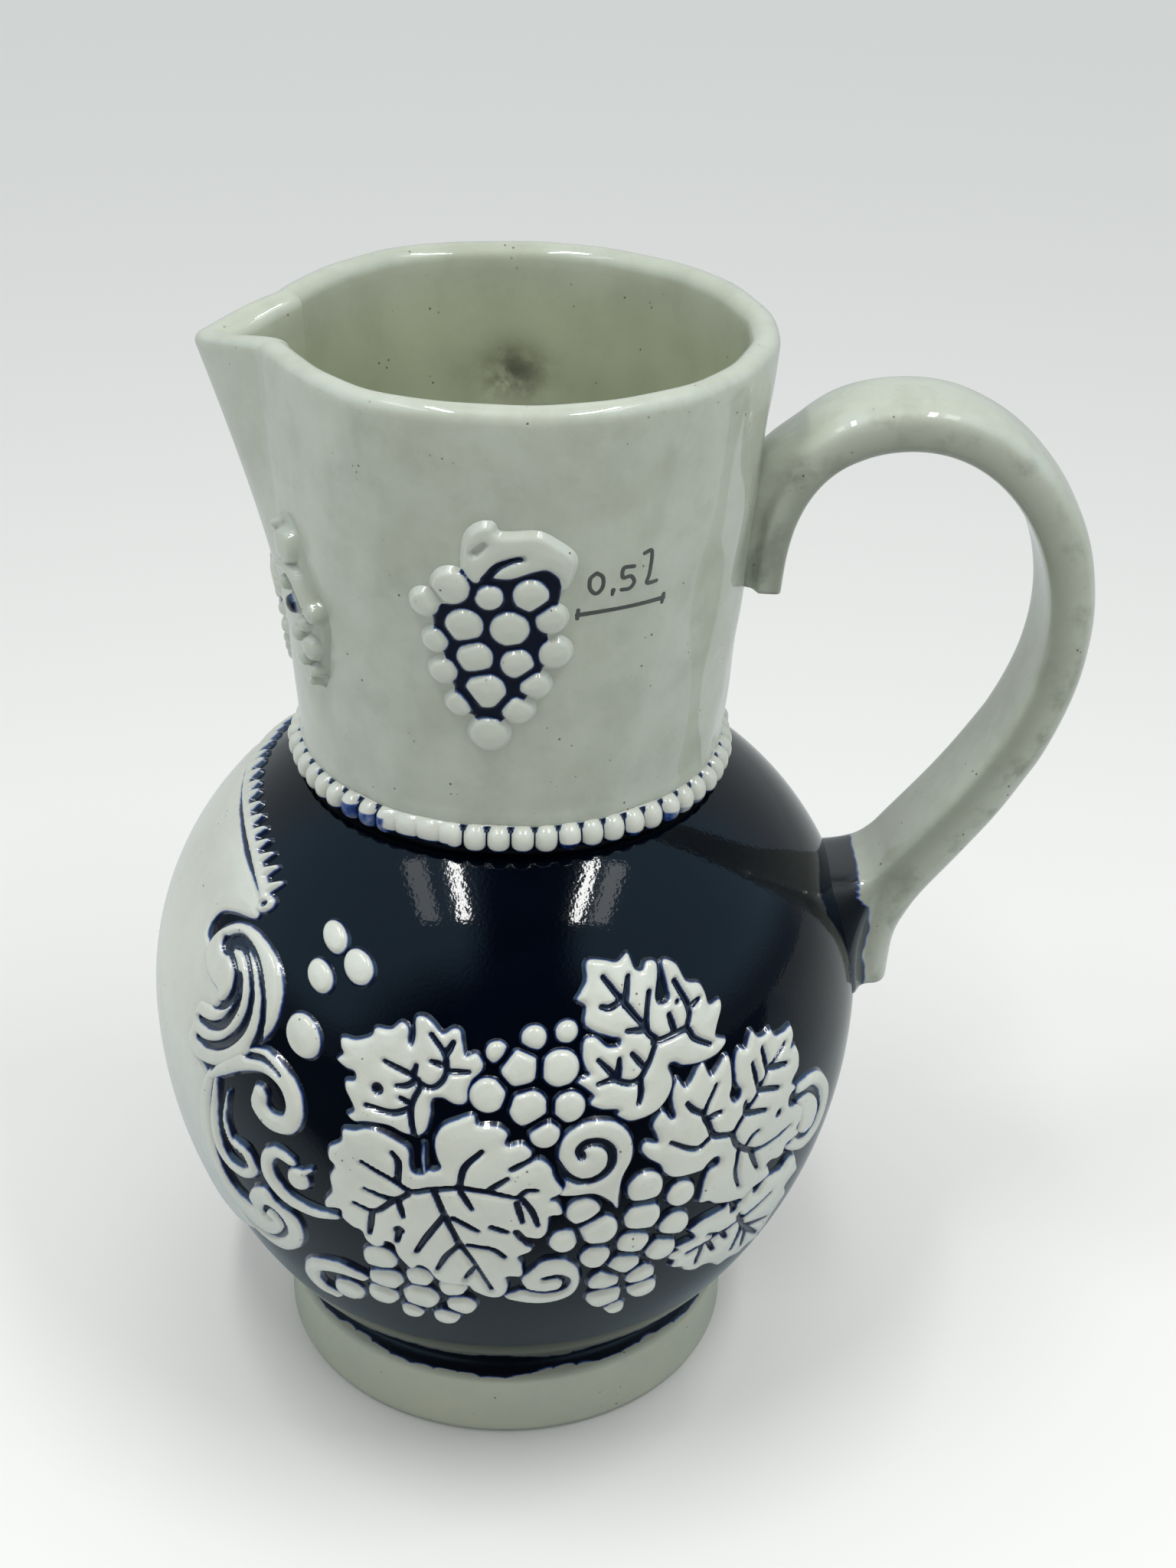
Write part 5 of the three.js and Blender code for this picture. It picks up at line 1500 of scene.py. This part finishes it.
class JugAddHandle(bpy.types.Operator):
    """Adds the strap handle with its tails on neck and belly"""

    bl_idname = "jug.add_handle"
    bl_label = "Add handle"

    def execute(self, context):
        sizes = context.scene.jug_sizes
        thickness = sizes.handle_thickness / MM
        line, way = handle_line(thickness, HANDLE_STATIONS + 1)
        piece, along, around = add_sheet("handle_piece", HANDLE_STATIONS, HANDLE_COLUMNS)
        rows = np.rint(along * HANDLE_STATIONS).astype(int)
        normal = np.stack([-way[rows, 1], way[rows, 0]])
        side, face = strap_section(around * math.tau)
        thick = thickness * np.interp(along, HANDLE_STOPS, HANDLE_THICKNESSES)
        wide = sizes.handle_width / MM * (1 + TAIL_WIDENING * soft((TAIL_END - along) / TAIL_END))
        web = soft((WEB_END - along) / WEB_FADE)
        outward = soft(face)
        uneven = sum(amount * np.sin(turns * along + slant * side) for amount, turns, slant in STRAP_WAVES)
        crown = (STRAP_CROWN * (1 - side ** 2) + uneven) * outward * (1 - web)
        offset = face * thick / 2 * (1 + WEB_RISE * web * outward) + crown
        y = side * wide / 2 * (1 - WEB_NARROWING * web * soft((face - 0.4) / 0.2))
        slope = np.stack([side ** 5 / wide, face ** 5 / thick])
        slope = slope / np.hypot(*slope)
        x, y, z = self.fillet(line[rows].T + normal * offset, y, normal, slope, along, face)
        place_points(piece, x, y, z)
        self.coat(piece, x, z, side, face)
        close_up(piece, fill=True)
        finish(context, piece, "stoneware", "handle")
        return {"FINISHED"}

    def fillet(self, place, y, normal, slope, along, face):
        """Points of the strap, drawn out where it runs into the belly."""
        inner = soft(-face)
        lower_half = along > 0.5
        off = off_belly(place[0], y, place[1])
        outside = soft((off + 2.5) / 1.5)
        reach = SIDE_FILLET * (1 - 0.5 * soft((along - 0.88) / 0.08))
        reach = reach + (TOP_FILLET - reach) * inner
        swelling = np.clip(1 - off / reach, 0, 1) ** 2 * reach / 2 * lower_half
        swelling = swelling * (1 - inner * (1 - outside))
        y = y + slope[0] * swelling
        place = place + normal * slope[1] * swelling * (face < 0)
        near = np.clip(1 - off_belly(place[0], y, place[1]) / THROAT_FILLET, 0, 1)
        throat = THROAT_FILLET * (1 - np.sqrt(1 - near ** 2)) * inner * outside * lower_half
        x, z = place + normal * slope[1] * throat
        return x, y, z

    def coat(self, piece, x, z, side, face):
        """Keeps the painted shade on the strap's flanks, where it is smudged and where glaze has run over it.
        """
        flank = soft((np.abs(side) - 0.85) / 0.15)
        # Painted shade on the flanks, strongest toward the inner face
        smoke = flank * (0.15 + 0.65 * soft((0.6 - face) / 1.3))
        wander = 0.25 * np.sin(z * 0.8) + 0.1 * np.sin(z * 2.1 + side)
        drip = DRIP_FALL * soft((DRIP_START - z) / DRIP_FALL) + wander
        glaze = soft((DRIP_REACH + drip - x) / DRIP_FADE + 0.5) * (z < DRIP_TOP)
        store(piece, inside=0.05, smoke=smoke, smudge=0.2 + 0.6 * flank, glaze=glaze)


class JugAddLeaves(bpy.types.Operator):
    """Adds the vine leaves of both sides"""

    bl_idname = "jug.add_leaves"
    bl_label = "Add leaves"

    def execute(self, context):
        add_side_forms(context, LEAVES, context.scene.jug_sizes.leaf_rise)
        return {"FINISHED"}


class JugAddScrolls(bpy.types.Operator):
    """Adds the scrolls and tendrils of both sides"""

    bl_idname = "jug.add_scrolls"
    bl_label = "Add scrolls and tendrils"

    def execute(self, context):
        add_side_forms(context, SCROLLS, context.scene.jug_sizes.scroll_rise)
        return {"FINISHED"}


class JugAddGrapes(bpy.types.Operator):
    """Adds the bunches of grapes and single berries of both sides"""

    bl_idname = "jug.add_grapes"
    bl_label = "Add grapes"

    def execute(self, context):
        for name, berries in GRAPES.items():
            piece = add_berries(name + "_piece_left", berries, context.scene.jug_sizes)
            add_pair(context, piece, name)
        return {"FINISHED"}


class JugAddNeckSprigs(bpy.types.Operator):
    """Adds the sprigs of grapes on the neck and the two unpainted tufts beside the front one"""

    bl_idname = "jug.add_neck_sprigs"
    bl_label = "Add neck sprigs"

    def execute(self, context):
        sizes = context.scene.jug_sizes
        side = add_neck_sprig("neck_grapes_piece_left", 1, SIDE_SPRIG_TURN, SIDE_SPRIG_HEIGHT, sizes)
        add_pair(context, side, "neck_grapes")
        front = add_neck_sprig("neck_grapes_piece_front", FRONT_SPRIG_SHARE, FRONT, FRONT_SPRIG_HEIGHT, sizes)
        finish(context, front, "relief_slip", "neck_grapes_front")
        add_pair(context, add_tuft("neck_tuft_piece_left", sizes), "neck_tuft", "stoneware")
        return {"FINISHED"}


# Border: its line, its teeth by distance from the line and widths, its groove and a ring at each end
BORDER_RISE = 1
BORDER_WIDTH = 1.6
BORDER_MARGIN = 2.6
TOOTH_START = 0.3
TOOTH_END = 2.2
TOOTH_WIDTHS = (2.4, 0.9)
GROOVE_OFFSET = 0.85
GROOVE_WIDTH = 0.4
RING_RADIUS = 1.4
RING_HOLE = 0.6


def border_form():
    """Toothed line over the panel, with a groove along it and a ring at each end."""
    line = [(-u, v) for u, v in reversed(BORDER_LINE[1:])] + list(BORDER_LINE)
    fine = spread(line, False, 12)
    lengths, way = run_along(fine)
    off = np.stack([-way[:, 1], way[:, 0]], axis=1)
    strokes = [(line, (BORDER_WIDTH, BORDER_WIDTH))]
    for run in np.linspace(BORDER_MARGIN, lengths[-1] - BORDER_MARGIN, BORDER_TEETH):
        index = int(np.argmin(np.abs(lengths - run)))
        tooth = (fine[index] + TOOTH_START * off[index], fine[index] + TOOTH_END * off[index])
        strokes.append((tooth, TOOTH_WIDTHS))
    ends = (line[0], line[-1])
    return {"strokes": strokes, "discs": [(u, v, RING_RADIUS) for u, v in ends],
            "veins": ((fine - GROOVE_OFFSET * off)[::6],), "vein_width": GROOVE_WIDTH,
            "holes": [(u, v, RING_HOLE) for u, v in ends]}


class JugAddPanel(bpy.types.Operator):
    """Adds the bare panel under the spout and the toothed border over it"""

    bl_idname = "jug.add_panel"
    bl_label = "Add panel and border"

    def execute(self, context):
        sizes = context.scene.jug_sizes
        half = [*PANEL_BOTTOM, *(side_to_front(u, v) for u, v in PANEL_SIDE), *PANEL_TOP]
        outline = half + [(-u, v) for u, v in reversed(half[1:-1])]
        panel = add_form("panel_piece", {"outline": outline}, FRONT, sizes.panel_rise / MM, sizes)
        finish(context, panel, "relief_slip", "front_panel")
        border = add_form("border_piece", border_form(), FRONT, BORDER_RISE, sizes)
        finish(context, border, "relief_slip", "panel_border")
        return {"FINISHED"}


class JugAddMark(bpy.types.Operator):
    """Adds the capacity line and its number on the neck"""

    bl_idname = "jug.add_mark"
    bl_label = "Add capacity mark"

    def execute(self, context):
        piece, u, v = relief_sheet("capacity_mark_piece", *form_bounds(MARK_FORM), MARK_STEP)
        depth = form_depth(u, v, MARK_FORM)
        lift = MARK_RISE * soft((depth + MARK_EDGE_OUT) / MARK_EDGE) - MARK_SINK
        lay(piece, on_neck(u, v, lift, MARK_TURN), depth > -MARK_SKIRT)
        finish(context, piece, "mark", None)
        return {"FINISHED"}


# Stage, in metres and watts: lamps as name, place from left to right, breadth and power
FLOOR_SIZE = 8
LAMPS = (
    ("lamp_left", -0.108, 0.022, 0.62), ("lamp_right", 0.16, 0.022, 0.62),
    ("glow_left", -0.195, 0.05, 0.09), ("glow_right", 0.222, 0.05, 0.11))
LAMP_PLACE = (-0.12, 0.5)
LAMP_LENGTH = 0.21
LAMP_COLOUR = (1, 1, 0.98)
# Light of the photo box, from its walls up to its ceiling and round to its open front
WALL_LIGHT = (0.7, 0.71, 0.7, 1)
BOX_LIGHT = (("Z", (0.72, 0.9), (1.14, 1.14, 1.13, 1)), ("Y", (-0.25, -0.62), (0.56, 0.565, 0.565, 1)))
# What the glaze mirrors: a dark middle between bright sides, then low down, at the back and round the camera
DARK_MIDDLE = 0.08
DARK_EDGE = (0.14, 0.36)
MIRRORED_MIDDLE = (0.025, 0.03, 0.035, 1)
MIRRORED_SIDES = (0.48, 0.76, 1, 1)
MIRRORED_LIGHT = (
    ("Z", (0.3, 0.05), (0.2, 0.25, 0.31, 1)), ("Y", (0.3, 0.7), (0.52, 0.56, 0.58, 1)),
    ("Y", (-0.5, -0.85), (0.02, 0.022, 0.026, 1)))
BACKDROP = (0.62, 0.64, 0.63, 1)
BOX_STRENGTH = 0.95
# Camera of the photo: turns in degrees, place in metres and lens in millimetres
CAMERA_PITCH = 29.8
CAMERA_YAW = 2.154
CAMERA_ROLL = 1.598
CAMERA_PLACE = (0, -0.29037, 0.25874)
CAMERA_LENS = 54.07
CAMERA_CLIP = 0.01


class JugAddStage(bpy.types.Operator):
    """Adds floor, lamps, surroundings and camera"""

    bl_idname = "jug.add_stage"
    bl_label = "Add stage"

    def execute(self, context):
        bpy.ops.object.select_all(action="DESELECT")
        bpy.ops.mesh.primitive_plane_add(size=FLOOR_SIZE)
        floor = context.active_object
        floor.name = "floor"
        floor.data.materials.append(material(context, "floor"))
        for name, x, breadth, power in LAMPS:
            bpy.ops.object.light_add(type="AREA", location=(x, *LAMP_PLACE))
            lamp = context.active_object
            lamp.name = name
            lamp.data.shape = "RECTANGLE"
            lamp.data.size = breadth
            lamp.data.size_y = LAMP_LENGTH
            lamp.data.energy = power
            lamp.data.color = LAMP_COLOUR
        self.surround(context)
        self.camera(context)
        context.scene.view_settings.view_transform = "Standard"
        return {"FINISHED"}

    def surround(self, context):
        """A pale photo box, open and dark toward the camera; plain pale where the camera looks past it."""
        world = context.scene.world or bpy.data.worlds.new("Photo box")
        context.scene.world = world
        tree = new_nodes(world)
        path = add_node(tree, "ShaderNodeLightPath").outputs
        way = dict(zip("XYZ", axes_of(tree, add_node(tree, "ShaderNodeTexCoord").outputs["Generated"])))
        aside = calculated(tree, "ABSOLUTE", calculated(tree, "SUBTRACT", way["X"], DARK_MIDDLE))
        light = WALL_LIGHT
        mirrored = mixed(tree, value_range(tree, aside, *DARK_EDGE), MIRRORED_MIDDLE, MIRRORED_SIDES)
        for axis, limits, tone in BOX_LIGHT:
            light = mixed(tree, value_range(tree, way[axis], *limits), light, tone)
        for axis, limits, tone in MIRRORED_LIGHT:
            mirrored = mixed(tree, value_range(tree, way[axis], *limits), mirrored, tone)
        box = mixed(tree, path["Is Glossy Ray"], light, mirrored)
        seen = mixed(tree, path["Is Camera Ray"], box, BACKDROP)
        shine = add_node(tree, "ShaderNodeBackground", {"Color": seen, "Strength": BOX_STRENGTH})
        add_node(tree, "ShaderNodeOutputWorld", {"Surface": shine.outputs[0]})

    def camera(self, context):
        """The camera of the photo."""
        pitch, yaw, roll = (math.radians(turn) for turn in (CAMERA_PITCH, CAMERA_YAW, CAMERA_ROLL))
        ahead = Vector((math.sin(yaw) * math.cos(pitch), math.cos(yaw) * math.cos(pitch), -math.sin(pitch)))
        right = Vector((math.cos(yaw), -math.sin(yaw), 0))
        above = right.cross(ahead)
        turned_right = math.cos(roll) * right + math.sin(roll) * above
        turned_up = -math.sin(roll) * right + math.cos(roll) * above
        bpy.ops.object.camera_add()
        camera = context.active_object
        axes = Matrix((turned_right, turned_up, -ahead)).transposed().to_4x4()
        camera.matrix_world = Matrix.Translation(CAMERA_PLACE) @ axes
        camera.data.lens = CAMERA_LENS
        camera.data.clip_start = CAMERA_CLIP
        context.scene.camera = camera


OPERATORS = (JugAddFoot, JugAddBelly, JugAddNeck, JugAddCollar, JugAddHandle, JugAddLeaves, JugAddScrolls,
             JugAddGrapes, JugAddNeckSprigs, JugAddPanel, JugAddMark, JugAddStage)


class JugPanel(bpy.types.Panel):
    """Sidebar with all sizes, colours and pieces"""

    bl_idname = "VIEW3D_PT_jug"
    bl_label = "Wine jug"
    bl_space_type = "VIEW_3D"
    bl_region_type = "UI"
    bl_category = "Jug"

    def draw(self, context):
        for group in (context.scene.jug_sizes, context.scene.jug_colours):
            for name in group.__annotations__:
                self.layout.prop(group, name)
        for operator in OPERATORS:
            self.layout.operator(operator.bl_idname)


CLASSES = (JugSizes, JugColours) + OPERATORS + (JugPanel,)


def register():
    """Adds the jug's settings, operators and panel."""
    for item in CLASSES:
        bpy.utils.register_class(item)
    bpy.types.Scene.jug_sizes = PointerProperty(type=JugSizes)
    bpy.types.Scene.jug_colours = PointerProperty(type=JugColours)


def unregister():
    """Takes them away again."""
    del bpy.types.Scene.jug_sizes
    del bpy.types.Scene.jug_colours
    for item in reversed(CLASSES):
        bpy.utils.unregister_class(item)


def main():
    """Builds the jug on its stage."""
    register()
    bpy.ops.object.select_all(action="DESELECT")
    bpy.ops.jug.add_foot()
    bpy.ops.jug.add_belly()
    bpy.ops.jug.add_neck()
    bpy.ops.jug.add_collar()
    bpy.ops.jug.add_handle()
    bpy.ops.jug.add_leaves()
    bpy.ops.jug.add_scrolls()
    bpy.ops.jug.add_grapes()
    bpy.ops.jug.add_neck_sprigs()
    bpy.ops.jug.add_panel()
    bpy.ops.jug.add_mark()
    bpy.ops.jug.add_stage()


if __name__ == "__main__":
    main()
